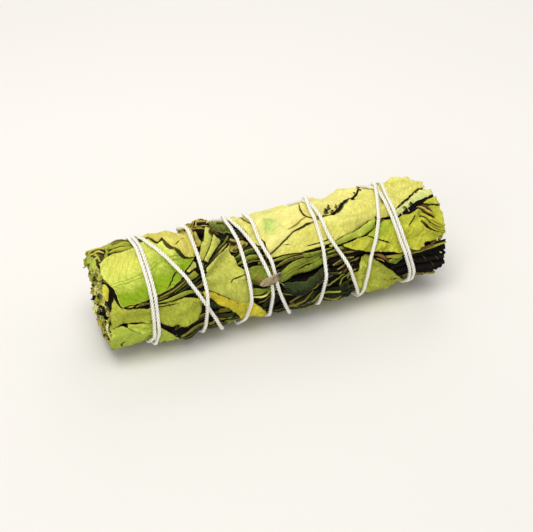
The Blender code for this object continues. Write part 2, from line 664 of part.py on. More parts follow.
class String:
    """The cotton string: one length that starts and ends at the knot."""

    def __init__(self, shape, layers, route):
        self.shape = shape
        fine = np.arange(route.angles[0], route.angles[-1] + 0.1, 2.5)
        station = route.station(fine)
        under = shape.radius(station, fine, layers.widened(1.0).read(station, fine))
        need = under + STRING_DIAMETER / 2 + STRING_GAP
        self._clear_earlier_turns(fine, station, need)
        count = int((fine[-1] - fine[0]) / STRING_STEP_DEGREES) + 1
        at = np.linspace(0, len(fine) - 1, count).round().astype(int)
        nearest = np.abs(np.arange(len(fine))[:, None] - at[None, :]).argmin(axis=1)
        held = need[at]
        for _ in range(40):
            raised = np.zeros(count)
            short = need - np.interp(fine, fine[at], held)
            np.maximum.at(raised, nearest, np.maximum(short, 0))
            held = held + raised
        taut = held.copy()
        cosine = math.cos(math.radians(STRING_STEP_DEGREES))
        for _ in range(60):
            chord = 2 * taut[:-2] * taut[2:] * cosine / (taut[:-2] + taut[2:])
            taut[1:-1] = np.maximum(held[1:-1], chord)
        self.station, self.angle, self.radius = station[at], fine[at], taut

    def _clear_earlier_turns(self, angle, station, need):
        """Lifts each turn over the turns that it crosses."""
        apart = STRING_DIAMETER + STRING_GAP / 2
        for i in range(60, len(angle)):
            before = np.arange(i - 60)
            off = (angle[before] - angle[i] + 180) % 360 - 180
            gap = np.hypot(off * MM_PER_DEGREE, station[before] - station[i])
            met = before[gap < apart]
            if len(met):
                need[i] = max(need[i], (need[met] + np.sqrt(apart**2 - gap[met] ** 2)).max())

    def lay(self, layers):
        """Adds the string to the layers."""
        across = STRING_DIAMETER / 2 * np.array([[-1, 0, 1]])
        height = self.radius - self.shape.radius(self.station, self.angle, 0.0)
        flat = np.zeros_like(across)
        layers.lay(self.station[:, None] + across, self.angle[:, None] + flat,
                   height[:, None] + STRING_DIAMETER / 2 + flat)

    def knot(self):
        """Stations, angles and radii of the overhand knot and its loose end."""
        t = np.linspace(math.pi + 0.5, 3 * math.pi - 0.5, 26)
        loops = np.stack([np.sin(t) + 2 * np.sin(2 * t), np.cos(t) - 2 * np.cos(2 * t),
                          -np.sin(3 * t) * KNOT_SWING], axis=1)
        steps = np.concatenate([KNOT_ENTRY, loops, KNOT_TAIL])
        middle = self.radius[-1] + KNOT_ABOVE_STRING
        return (KNOT_STATION + steps[:, 0] * KNOT_SCALE,
                KNOT_ANGLE + steps[:, 1] * KNOT_SCALE / MM_PER_DEGREE,
                middle + steps[:, 2])

    def path(self):
        """World points of the string's middle, kept clear of the surface."""
        knot = self.knot()
        path = self.shape.place(np.r_[self.station, knot[0]], np.r_[self.angle, knot[1]],
                                np.r_[self.radius, knot[2]])
        lowest = (STRING_DIAMETER / 2 + STRING_CLEAR_OF_SURFACE) * MM
        path[:, 2] = np.maximum(path[:, 2], lowest)
        return path

    def build(self, materials):
        """The string as a bevelled curve with closed ends."""
        path = self.path()
        curve = bpy.data.curves.new("string", "CURVE")
        curve.dimensions = "3D"
        curve.bevel_depth = STRING_DIAMETER / 2 * MM
        curve.bevel_resolution = STRING_BEVEL_RESOLUTION
        curve.use_fill_caps = True
        spline = curve.splines.new("POLY")
        spline.points.add(len(path) - 1)
        for point, where in zip(spline.points, path):
            point.co = (*where, 1.0)
        return add_object("string", curve, materials["cotton"])


def main():
    """Builds the bunch from the inside out."""
    clear_scene()
    materials = make_materials()
    route = StringRoute()
    layers = Layers(0.0)
    layers.top = folds_height(layers.stations[:, None], layers.angles[None, :])
    folds = [Fold(f"fold_{k + 1}", *entry) for k, entry in enumerate(SLENDER_FOLDS)]
    for fold in folds:
        fold.lay(layers)
    leaves = far_side_leaves() + [Leaf(*entry) for entry in HAND_LAID]
    for seed, leaf in enumerate(leaves):
        leaf.wave_edges(seed)
        leaf.lay(layers)
    shape = Shape(layers, route)
    build_core(shape, folds, materials)
    build_stems(materials)
    for leaf in leaves:
        leaf.build(shape, materials)
    string = String(shape, layers, route)
    string.build(materials)
    string.lay(layers)
    scrap = Leaf("dried_scrap", "bark", *SCRAP_EDGES, 0.0, 2.3, 1.4)
    scrap.lay(layers)
    scrap.build(shape, materials)


main()
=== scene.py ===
import logging
import math
from dataclasses import dataclass, field
from enum import Enum
from typing import ClassVar

import bmesh
import bpy
import numpy as np
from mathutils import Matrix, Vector


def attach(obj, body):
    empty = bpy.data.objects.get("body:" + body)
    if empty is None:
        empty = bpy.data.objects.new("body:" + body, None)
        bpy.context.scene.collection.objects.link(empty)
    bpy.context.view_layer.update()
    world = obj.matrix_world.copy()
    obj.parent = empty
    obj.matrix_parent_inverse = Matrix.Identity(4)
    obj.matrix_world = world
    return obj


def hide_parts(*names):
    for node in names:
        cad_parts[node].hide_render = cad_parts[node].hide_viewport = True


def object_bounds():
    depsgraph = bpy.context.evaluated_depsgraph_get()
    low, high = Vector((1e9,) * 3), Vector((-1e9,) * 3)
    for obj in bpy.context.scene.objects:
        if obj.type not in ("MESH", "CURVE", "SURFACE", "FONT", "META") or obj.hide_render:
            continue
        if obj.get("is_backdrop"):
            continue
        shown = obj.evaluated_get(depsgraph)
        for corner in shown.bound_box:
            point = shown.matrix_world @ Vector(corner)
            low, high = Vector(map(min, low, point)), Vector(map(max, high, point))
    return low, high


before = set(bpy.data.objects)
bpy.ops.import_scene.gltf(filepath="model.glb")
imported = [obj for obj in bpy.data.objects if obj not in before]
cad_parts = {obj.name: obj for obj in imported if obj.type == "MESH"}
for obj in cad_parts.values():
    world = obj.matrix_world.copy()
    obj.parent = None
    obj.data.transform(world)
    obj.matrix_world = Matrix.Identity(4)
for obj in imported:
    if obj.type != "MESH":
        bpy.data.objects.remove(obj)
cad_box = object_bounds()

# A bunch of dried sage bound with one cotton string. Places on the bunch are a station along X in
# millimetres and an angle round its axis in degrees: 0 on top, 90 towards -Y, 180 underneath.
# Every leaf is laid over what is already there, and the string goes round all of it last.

LOG = logging.getLogger("sage")
MM = 0.001
AXIS_HEIGHT = 15.2
AXIS_Y = -0.25
BUNCH_LENGTH = 102.0
BUNCH_RADIUS = 15.5
PRESSED_RADIUS = 17.3
MM_PER_DEGREE = math.radians(1) * 14.0
SEED = 20
FAR = 99.0
LEAF_SPACING = 7.3

Edge = tuple[tuple[float, float], ...]
Colour = tuple[float, float, float]


# Shading

class Sock:
    """A socket's value in an expression: its operators add Math nodes."""

    def __init__(self, graph: "Graph", socket: bpy.types.NodeSocket) -> None:
        """Keeps the graph and the socket."""
        self.graph = graph
        self.socket = socket

    def _math(self, operation: str, *values: "Sock | float") -> "Sock":
        """Adds one Math node.

        Args:
            operation: The Math node's operation.
            values: Its inputs in order.

        Returns:
            The node's result.
        """
        return self.graph.node("ShaderNodeMath", {"operation": operation}, dict(enumerate(values)))

    def __add__(self, other: "Sock | float") -> "Sock":
        """Sum."""
        return self._math("ADD", self, other)

    def __radd__(self, other: float) -> "Sock":
        """Sum, reflected."""
        return self._math("ADD", other, self)

    def __sub__(self, other: "Sock | float") -> "Sock":
        """Difference."""
        return self._math("SUBTRACT", self, other)

    def __rsub__(self, other: float) -> "Sock":
        """Difference, reflected."""
        return self._math("SUBTRACT", other, self)

    def __mul__(self, other: "Sock | float") -> "Sock":
        """Product."""
        return self._math("MULTIPLY", self, other)

    def __rmul__(self, other: float) -> "Sock":
        """Product, reflected."""
        return self._math("MULTIPLY", other, self)

    def __abs__(self) -> "Sock":
        """Absolute value."""
        return self._math("ABSOLUTE", self)

    def sine(self) -> "Sock":
        """Sine of the value."""
        return self._math("SINE", self)

    def least(self, other: "Sock | float") -> "Sock":
        """The smaller of the two."""
        return self._math("MINIMUM", self, other)

    def most(self, other: "Sock | float") -> "Sock":
        """The greater of the two."""
        return self._math("MAXIMUM", self, other)

    def step(self, low: float, high: float) -> "Sock":
        """A soft step.

        Args:
            low: The value where the step is 0.
            high: The value where it is 1, which may be the smaller.

        Returns:
            A value from 0 to 1.
        """
        return self.graph.node("ShaderNodeMapRange", {"interpolation_type": "SMOOTHSTEP"},
                               {0: self, 1: low, 2: high, 3: 0.0, 4: 1.0})


class Graph:
    """The nodes of one material."""

    def __init__(self, name: str) -> None:
        """Makes the material with its Principled shader.

        Args:
            name: The material's name.
        """
        self.material = bpy.data.materials.new(name)
        self.material.use_nodes = True
        self.tree = self.material.node_tree
        self.shader = self.tree.nodes["Principled BSDF"]

    def node(self, kind: str, settings: dict, values: dict, output: int | str = 0) -> Sock:
        """Adds one node, its settings first.

        Args:
            kind: The node's type.
            settings: Its properties.
            values: Socket names or numbers with their values or links.
            output: The output to give back.

        Returns:
            That output.
        """
        made = self.tree.nodes.new(kind)
        for key, value in settings.items():
            setattr(made, key, value)
        for key, value in values.items():
            self.feed(made.inputs[key], value)
        return Sock(self, made.outputs[output])

    def feed(self, socket: bpy.types.NodeSocket, value: "Sock | float | tuple") -> None:
        """Links a socket or sets its value.

        Args:
            socket: The input.
            value: A link, a number, a colour or a vector.
        """
        if isinstance(value, Sock):
            self.tree.links.new(value.socket, socket)
        elif socket.type == "RGBA":
            socket.default_value = (*value, 1.0)
        else:
            socket.default_value = value

    def attribute(self, name: str, output: str = "Fac") -> Sock:
        """A value kept on the mesh."""
        return self.node("ShaderNodeAttribute", {"attribute_name": name}, {}, output)

    def split(self, vector: Sock) -> tuple[Sock, Sock, Sock]:
        """The three parts of a vector."""
        made = self.tree.nodes.new("ShaderNodeSeparateXYZ")
        self.feed(made.inputs[0], vector)
        return tuple(Sock(self, out) for out in made.outputs)

    def moved(self, vector: Sock, by: tuple, operation: str = "ADD") -> Sock:
        """The vector moved or, with MULTIPLY, stretched."""
        return self.node("ShaderNodeVectorMath", {"operation": operation}, {0: vector, 1: by})

    def noise(self, at: Sock, scale: float, detail: float = 2.0, rough: float = 0.5) -> Sock:
        """Soft noise from 0 to 1."""
        return self.node("ShaderNodeTexNoise", {},
                         {"Vector": at, "Scale": scale, "Detail": detail, "Roughness": rough})

    def cells(self, at: Sock, scale: float, feature: str = "F1") -> Sock:
        """Distance in a pattern of cells."""
        return self.node("ShaderNodeTexVoronoi", {"feature": feature},
                         {"Vector": at, "Scale": scale}, "Distance")

    def mix(self, first: Sock | Colour, second: Sock | Colour, share: Sock | float) -> Sock:
        """Two colours mixed.

        Args:
            first: The colour at share 0.
            second: The colour at share 1.
            share: How much of the second.

        Returns:
            The mixed colour.
        """
        return self.node("ShaderNodeMix", {"data_type": "RGBA"},
                         {0: share, 6: first, 7: second}, 2)

    def finish(self, colour: Sock, roughness: Sock | float, relief: Sock, depth: float,
               specular: float = 0.25) -> bpy.types.Material:
        """Feeds the shader.

        Args:
            colour: Base Color.
            roughness: Roughness.
            relief: Height in millimetres.
            depth: Strength of the bump.
            specular: Specular level, the same all over.

        Returns:
            The material.
        """
        self.feed(self.shader.inputs["Base Color"], colour)
        self.feed(self.shader.inputs["Roughness"], roughness)
        self.shader.inputs["Specular IOR Level"].default_value = specular
        bump = self.node("ShaderNodeBump", {}, {"Height": relief, "Strength": depth,
                                                "Distance": MM})
        self.feed(self.shader.inputs["Normal"], bump)
        return self.material


@dataclass(frozen=True)
class LeafFinish:
    """Dried sage leaf: two tones with mottling, veins, spots, stains, a dry rim and cracks, with
    painted shade beside higher leaves.
    """

    name: str
    light: Colour
    deep: Colour
    stain: Colour
    rim: Colour
    patch: Colour = (0.24, 0.15, 0.03)
    spot: Colour = (0.10, 0.030, 0.008)
    crack: Colour = (0.010, 0.007, 0.004)
    stain_share: float = 0.3
    spot_share: float = 0.0
    mottle: float = 0.8
    vein: float = 0.35
    rim_width: float = 0.28
    roughness: float = 0.78

    def material(self) -> bpy.types.Material:
        """The leaf's material, laid out along its midrib."""
        g = Graph(self.name)
        at = g.attribute("leaf_at", "Vector")
        along, across, _ = g.split(at)
        crack, past, rib = g.split(g.attribute("lines", "Vector"))
        broad = g.noise(at, 0.22, 4.0, 0.6).step(0.34, 0.66)
        fine = g.noise(at, 1.1, 7.0, 0.74)
        grain = g.noise(at, 4.2, 3.0, 0.7)
        tone = g.attribute("tone") + (broad - 0.5) * 0.40 + (fine - 0.5) * (2.6 * self.mottle)
        tone = tone + (grain - 0.5) * (1.1 * self.mottle)
        colour = g.mix(self.light, self.deep, tone.step(-0.25, 1.25))
        low = 0.66 - 0.30 * self.stain_share
        stain = g.noise(g.moved(at, (31.0, 7.0, 3.0)), 0.13, 4.0, 0.6).step(low, low + 0.12)
        colour = g.mix(colour, self.stain, stain * 0.6)
        blot = g.attribute("patch") + (g.noise(at, 0.8, 5.0, 0.65) - 0.5) * 0.9
        colour = g.mix(colour, self.patch, blot.step(0.05, 1.0) * 0.8)
        lean = along - abs(across) * 0.85 + g.noise(at, 0.5, 1.0) * 1.2
        side = abs((lean * 1.7).sine()).step(0.18, 0.02)
        net = g.cells(at, 0.95, "DISTANCE_TO_EDGE").step(0.09, 0.0)
        veins = side.most(net * 0.6)
        colour = g.mix(colour, self.crack, veins * (self.vein * 0.35))
        pits = (g.cells(at, 1.5) + (grain - 0.5) * 0.3).step(0.22, 0.10)
        colour = g.mix(colour, self.crack, pits * 0.35)
        ribline = abs(abs(rib) - 0.42).step(0.20, 0.05)
        colour = g.mix(colour, self.deep, ribline * 0.75)
        if self.spot_share:
            gate = g.noise(g.moved(at, (5.0, 3.0, 9.0)), 0.30, 2.0).step(0.60, 0.46)
            near = g.cells(at, 0.55) + (fine - 0.5) * 0.25
            spots = near.step(0.23, 0.13) * gate * self.spot_share
            colour = g.mix(colour, self.spot, spots)
        edge = (g.attribute("rim") + (fine - 0.5) * 0.35).step(self.rim_width, 0.02)
        colour = g.mix(colour, self.rim, edge * 0.8)
        # Painted shade: darkened towards the crack colour where a higher leaf lies beside this
        # one.
        hollow = (g.attribute("hollow") + (fine - 0.5) * 0.35).step(0.25, 0.75)
        colour = g.mix(colour, self.crack, hollow * 0.9)
        gap = abs(crack + (g.noise(at, 1.8, 3.0) - 0.5) * 0.7) + (past + 1.5).most(0.0) * 0.12
        gap = gap.step(0.26, 0.12)
        colour = g.mix(colour, self.crack, gap)
        relief = fine * 0.34 + grain * 0.14 - veins * 0.10 - gap * 0.3 - ribline * 0.10
        relief = relief - pits * 0.06
        return g.finish(colour, fine * 0.16 + (self.roughness - 0.08), relief, 0.9, 0.15)


@dataclass(frozen=True)
class CottonFinish:
    """Undyed cotton: cream plies with painted shade in the grooves between them, and fine fibres
    along the twist.
    """

    name: str = "undyed_cotton"
    thread: Colour = (0.93, 0.91, 0.83)
    groove: Colour = (0.64, 0.60, 0.50)

    def material(self) -> bpy.types.Material:
        """The string's material."""
        g = Graph(self.name)
        at = g.attribute("leaf_at", "Vector")
        fibres = g.noise(g.moved(at, (0.9, 5.0, 5.0), "MULTIPLY"), 1.6, 4.0, 0.7)
        dust = g.noise(at, 0.35, 3.0)
        # Painted shade: the side of each ply that faces the others is mixed towards the groove
        # colour.
        colour = g.mix(self.thread, self.groove, g.attribute("tone"))
        colour = g.mix(colour, (0.66, 0.61, 0.44), dust.step(0.60, 0.78) * 0.45)
        colour = g.mix(colour, self.groove, fibres.step(0.58, 0.75) * 0.30)
        return g.finish(colour, fibres * 0.1 + 0.82, fibres * 0.12, 0.6, 0.2)


@dataclass(frozen=True)
class WoodFinish:
    """Cut twig: pale wood on the cut face and fibres along the twig."""

    name: str
    pale: Colour
    dark: Colour

    def material(self) -> bpy.types.Material:
        """The twig's material."""
        g = Graph(self.name)
        at = g.attribute("leaf_at", "Vector")
        fibres = g.noise(g.moved(at, (0.25, 2.6, 2.6), "MULTIPLY"), 1.2, 5.0, 0.65)
        patches = g.noise(at, 0.5, 3.0)
        share = (fibres.step(0.35, 0.7) + patches.step(0.45, 0.7) * 0.4).least(1.0)
        colour = g.mix(self.pale, self.dark, share)
        return g.finish(colour, patches * 0.1 + 0.75, fibres * 0.3, 0.7)


@dataclass(frozen=True)
class FloorFinish:
    """The plain pale floor, painted darker towards the camera where the lamps light it more."""

    name: str = "pale_floor"
    pale: Colour = (0.82, 0.80, 0.765)
    front: Colour = (0.71, 0.695, 0.665)

    def material(self) -> bpy.types.Material:
        """The floor's material."""
        g = Graph(self.name)
        at = g.node("ShaderNodeTexCoord", {}, {}, "Object")
        soft = g.noise(at, 3.0, 2.0)
        x, y, _ = g.split(at)
        # Painted shade: darker towards the camera, where the lamps light the floor more.
        front = (x * -0.36 + y * -0.933).step(-0.12, 0.13)
        colour = g.mix(self.pale, self.front, front)
        return g.finish(colour, 0.9, soft * 0.01, 0.1, 0.1)


class Hue(Enum):
    """The finishes of the leaves."""

    SUN_YELLOW = LeafFinish("sun_yellow", (0.94, 0.87, 0.29), (0.72, 0.66, 0.17),
                            (0.85, 0.82, 0.24), (0.81, 0.65, 0.15), (0.46, 0.65, 0.15),
                            stain_share=0.25, vein=0.25)
    PALE_YELLOW = LeafFinish("pale_yellow_leaf", (0.89, 0.84, 0.23), (0.54, 0.52, 0.091),
                             (0.71, 0.64, 0.10), (0.66, 0.52, 0.10), (0.43, 0.48, 0.057),
                             stain_share=0.4, vein=0.3)
    WARM_YELLOW = LeafFinish("warm_yellow_leaf", (0.80, 0.72, 0.16), (0.43, 0.37, 0.049),
                             (0.67, 0.50, 0.054), (0.41, 0.27, 0.038), (0.41, 0.45, 0.043),
                             stain_share=0.25)
    FRESH = LeafFinish("fresh_leaf", (0.79, 0.82, 0.16), (0.25, 0.38, 0.010),
                       (0.55, 0.60, 0.050), (0.62, 0.61, 0.11), (0.69, 0.67, 0.11),
                       stain_share=0.2, vein=0.5)
    GOLD_GREEN = LeafFinish("gold_green_leaf", (0.69, 0.69, 0.070), (0.33, 0.36, 0.024),
                            (0.71, 0.65, 0.057), (0.60, 0.51, 0.057), (0.33, 0.48, 0.028),
                            stain_share=0.4)
    GREEN = LeafFinish("green_leaf", (0.55, 0.66, 0.083), (0.28, 0.37, 0.033),
                       (0.40, 0.42, 0.044), (0.48, 0.48, 0.077), vein=0.5)
    OLIVE = LeafFinish("olive_leaf", (0.57, 0.61, 0.077), (0.28, 0.32, 0.026),
                       (0.47, 0.42, 0.047), (0.40, 0.29, 0.041), (0.29, 0.18, 0.024),
                       spot_share=0.25, vein=0.45)
    PALE_GREEN = LeafFinish("pale_green_leaf", (0.71, 0.72, 0.14), (0.39, 0.41, 0.059),
                            (0.57, 0.55, 0.071), (0.64, 0.63, 0.18), spot_share=0.2)
    WHITISH = LeafFinish("whitish_leaf", (0.90, 0.92, 0.36), (0.40, 0.47, 0.078),
                         (0.90, 0.90, 0.38), (0.83, 0.83, 0.40), stain_share=0.6)
    OCHRE = LeafFinish("ochre_leaf", (0.89, 0.82, 0.072), (0.50, 0.44, 0.024),
                       (0.70, 0.50, 0.024), (0.14, 0.072, 0.018), spot_share=1.0,
                       stain_share=0.4)
    MOSS = LeafFinish("moss_leaf", (0.31, 0.36, 0.054), (0.041, 0.068, 0.009),
                      (0.090, 0.11, 0.013), (0.31, 0.34, 0.054), stain_share=0.5, mottle=1.2)
    SHADE_GREEN = LeafFinish("shade_green_leaf", (0.30, 0.36, 0.034), (0.063, 0.092, 0.007),
                             (0.21, 0.20, 0.017), (0.41, 0.46, 0.057), vein=0.6)
    # Very dark green: the leaves' own dark green, deepened with painted shade for leaves deep in
    # the bunch.
    DARK_GREEN = LeafFinish("dark_green_and_shade_leaf", (0.040, 0.060, 0.014), (0.005, 0.008, 0.003),
                            (0.048, 0.040, 0.010), (0.080, 0.096, 0.020), mottle=1.1)
    DRY_OLIVE = LeafFinish("dry_olive_leaf", (0.24, 0.21, 0.03), (0.028, 0.026, 0.006),
                           (0.20, 0.11, 0.015), (0.34, 0.29, 0.05), mottle=1.1)
    BROWN = LeafFinish("brown_leaf", (0.34, 0.24, 0.042), (0.025, 0.017, 0.006),
                       (0.22, 0.13, 0.021), (0.87, 0.77, 0.22), spot=(0.14, 0.017, 0.011),
                       spot_share=1.0, rim_width=0.35)
    # Near black: painted shade, for the deep gaps, holes and core between the leaves.
    BLACK = LeafFinish("painted_shade_black", (0.007, 0.006, 0.005), (0.001, 0.001, 0.001),
                       (0.02, 0.008, 0.004), (0.010, 0.009, 0.008), stain_share=0.4,
                       mottle=1.2, roughness=0.95)
    CRUMB = LeafFinish("crumb_leaf", (0.85, 0.83, 0.18), (0.28, 0.30, 0.023),
                       (0.41, 0.28, 0.034), (0.94, 0.90, 0.37), spot_share=0.6,
                       stain_share=0.4, mottle=1.2, rim_width=0.40)
    RUST = LeafFinish("rust_leaf", (0.20, 0.085, 0.022), (0.030, 0.012, 0.006),
                      (0.26, 0.14, 0.03), (0.16, 0.07, 0.02), stain_share=0.5, mottle=1.3)
    SCRAP = LeafFinish("scrap_leaf", (0.44, 0.35, 0.20), (0.11, 0.08, 0.05),
                       (0.16, 0.12, 0.08), (0.50, 0.44, 0.29), (0.012, 0.010, 0.012),
                       stain_share=0.5, mottle=1.4)

    def material(self) -> bpy.types.Material:
        """The material, made once."""
        return bpy.data.materials.get(self.value.name) or self.value.material()


# Curves, noise and the map of the bunch

def hermite(knots: np.ndarray, values: np.ndarray, slopes: np.ndarray,
            where: np.ndarray) -> np.ndarray:
    """A smooth curve through the values at the knots.

    Args:
        knots: Growing places.
        values: The curve's values there.
        slopes: Its slopes there.
        where: Places to read it.

    Returns:
        The values read.
    """
    at = np.clip(np.searchsorted(knots, where, side="right") - 1, 0, len(knots) - 2)
    width = knots[at + 1] - knots[at]
    t = (where - knots[at]) / width
    if values.ndim > 1:
        t, width = t[:, None], width[:, None]
    return ((2 * t**3 - 3 * t**2 + 1) * values[at] + (t**3 - 2 * t**2 + t) * width * slopes[at]
            + (3 * t**2 - 2 * t**3) * values[at + 1] + (t**3 - t**2) * width * slopes[at + 1])


def curve_through(points: Edge | np.ndarray, count: int) -> np.ndarray:
    """A smooth curve through the points, read at even steps of its length.

    Args:
        points: Points of any dimension.
        count: How many steps to read.

    Returns:
        That many points.
    """
    points = np.array(points, float)
    span = np.r_[0, np.cumsum(np.linalg.norm(np.diff(points, axis=0), axis=1))]
    slopes = np.gradient(points, span, axis=0)
    smooth = hermite(span, points, slopes, np.linspace(0, span[-1], 40 * len(points)))
    run = np.r_[0, np.cumsum(np.linalg.norm(np.diff(smooth, axis=0), axis=1))]
    even = np.linspace(0, run[-1], count)
    return np.stack([np.interp(even, run, smooth[:, i]) for i in range(points.shape[1])], axis=1)


class Ripple:
    """Smooth seeded noise of about -1 to 1, made of plane waves."""

    def __init__(self, seed: int, wavelength: float, waves: int = 9) -> None:
        """Draws the waves.

        Args:
            seed: Seed of the draw.
            wavelength: Middle wavelength in millimetres.
            waves: Number of waves.
        """
        draw = np.random.default_rng(seed)
        turn = draw.uniform(0, math.tau, waves)
        size = math.tau / wavelength * draw.uniform(0.6, 1.5, waves)
        self.wave = np.stack([np.cos(turn) * size, np.sin(turn) * size])
        self.phase = draw.uniform(0, math.tau, waves)

    def at(self, x: np.ndarray, y: np.ndarray | float) -> np.ndarray:
        """The noise at places in millimetres."""
        x, y = np.broadcast_arrays(x, y)
        bends = x[..., None] * self.wave[0] + y[..., None] * self.wave[1] + self.phase
        return np.sin(bends).sum(axis=-1) / math.sqrt(len(self.phase)) * 0.9


def line_offsets(line: Edge, x: np.ndarray, y: np.ndarray) -> tuple[np.ndarray, np.ndarray]:
    """Signed distance from a line of points, and how far past its ends, in millimetres.

    Args:
        line: (station, angle) points.
        x: Stations.
        y: Angles, in millimetres of arc.

    Returns:
        Signed distance and the distance past the nearer end, negative inside.
    """
    points = np.array(line, float) * (1.0, MM_PER_DEGREE)
    best = np.full(x.shape, 1e9)
    signed, past = np.zeros_like(x), np.zeros_like(x)
    run = 0.0
    total = np.linalg.norm(np.diff(points, axis=0), axis=1).sum()
    for start, end in zip(points[:-1], points[1:]):
        step = end - start
        length = np.linalg.norm(step)
        step = step / length
        t = (x - start[0]) * step[0] + (y - start[1]) * step[1]
        inside = np.clip(t, 0, length)
        off = (x - start[0]) * -step[1] + (y - start[1]) * step[0]
        away = np.hypot(x - start[0] - inside * step[0], y - start[1] - inside * step[1])
        nearer = away < best
        best = np.where(nearer, away, best)
        signed = np.where(nearer, np.where(np.abs(off) > 1e-9, np.sign(off), 1) * away, signed)
        along = run + t
        past = np.where(nearer, np.maximum(-along, along - total), past)
        run += length
    return signed, past


class Layers:
    """A map of the bunch: how far out the outermost layer reaches at each station and angle."""

    step_x = 0.25
    step_angle = 1.0
    half = 58.0

    def __init__(self, height: float | np.ndarray) -> None:
        """A map of one height, or of heights already worked out."""
        self.stations = np.arange(-self.half, self.half + self.step_x, self.step_x)
        self.angles = np.arange(0, 360, self.step_angle)
        self.top = np.zeros((len(self.stations), len(self.angles))) + height

    def read(self, station: np.ndarray, angle: np.ndarray) -> np.ndarray:
        """The map's value between its cells.

        Args:
            station: Stations, in millimetres.
            angle: Angles, in degrees.

        Returns:
            The value at each place.
        """
        u = np.clip((np.asarray(station) + self.half) / self.step_x, 0, self.top.shape[0] - 1.001)
        v = (np.asarray(angle) % 360) / self.step_angle
        i, j = np.floor(u).astype(int), np.floor(v).astype(int) % self.top.shape[1]
        fu, fv = u - i, v - np.floor(v)
        k = (j + 1) % self.top.shape[1]
        low = self.top[i, j] * (1 - fv) + self.top[i, k] * fv
        high = self.top[i + 1, j] * (1 - fv) + self.top[i + 1, k] * fv
        return low * (1 - fu) + high * fu

    def spread(self, reach: float, measure: type(np.max)) -> "Layers":
        """A map of a measure, such as np.max, within reach of each cell."""
        steps = (int(round(reach / self.step_x)),
                 int(round(reach / MM_PER_DEGREE / self.step_angle)))
        grid = self.top
        for axis, count in enumerate(steps):
            grid = measure(np.stack([np.roll(grid, k, axis=axis)
                                     for k in range(-count, count + 1)]), axis=0)
        return Layers(grid)

    def lay(self, station: np.ndarray, angle: np.ndarray, top: np.ndarray) -> None:
        """Raises the map to the outer face of a laid grid."""
        station, angle, top = (refined(value, 3) for value in (station, angle, top))
        i = np.rint((station + self.half) / self.step_x).astype(int)
        j = np.rint((angle % 360) / self.step_angle).astype(int) % len(self.angles)
        np.maximum.at(self.top, (np.clip(i, 0, len(self.stations) - 1), j), top)


def bell(distance: np.ndarray, reach: float) -> np.ndarray:
    """A smooth bell, 1 at no distance and about a third at its reach."""
    return np.exp(-((distance / reach) ** 2))


def refined(values: np.ndarray, parts: int) -> np.ndarray:
    """A grid read at so many even parts of each of its cells.

    Args:
        values: Values to put steps between.
        parts: Number of steps from one value to the next.

    Returns:
        The values with the steps between them.
    """
    for axis in (0, 1):
        count = values.shape[axis]
        where = np.linspace(0, count - 1, (count - 1) * parts + 1)
        low = np.minimum(where.astype(int), count - 2)
        share = where - low
        share = share[:, None] if axis == 0 else share[None, :]
        values = np.take(values, low, axis) * (1 - share) + np.take(values, low + 1, axis) * share
    return values


class Shape:
    """The bunch's outer form, which turns stations, angles and layer heights into points."""

    taper_start = 40.0
    taper_depth = 1.0
    pinch_depth = 0.5
    pinch_reach = 3.2

    def __init__(self, layers: Layers, string_distance: Layers) -> None:
        """Works out the base under all the layers.

        Args:
            layers: The finished map.
            string_distance: Distance of each cell from the string.
        """
        stack = layers.spread(0.8, np.max).spread(5.0, np.mean).spread(4.0, np.mean)
        self.near = layers.spread(0.25, np.max)
        past = (np.abs(stack.stations) - self.taper_start) / (BUNCH_LENGTH / 2 - self.taper_start)
        taper = self.taper_depth * np.clip(past, 0, 1.2)[:, None] ** 2
        pinch = self.pinch_depth * bell(string_distance.top, self.pinch_reach)
        self.base = Layers(BUNCH_RADIUS - 0.15 - stack.top - taper - pinch)

    def radius(self, station: np.ndarray, angle: np.ndarray, height: np.ndarray) -> np.ndarray:
        """Distance from the axis for a layer height."""
        return self.base.read(station, angle) + height

    def place(self, station: np.ndarray, angle: np.ndarray, radius: np.ndarray) -> np.ndarray:
        """Points in metres, with the underside pressed flat layer by layer."""
        turn = np.radians(angle)
        z = np.maximum(AXIS_HEIGHT + radius * np.cos(turn), PRESSED_RADIUS - radius)
        y = AXIS_Y - radius * np.sin(turn)
        return np.stack(np.broadcast_arrays(station, y, z), axis=-1) * MM


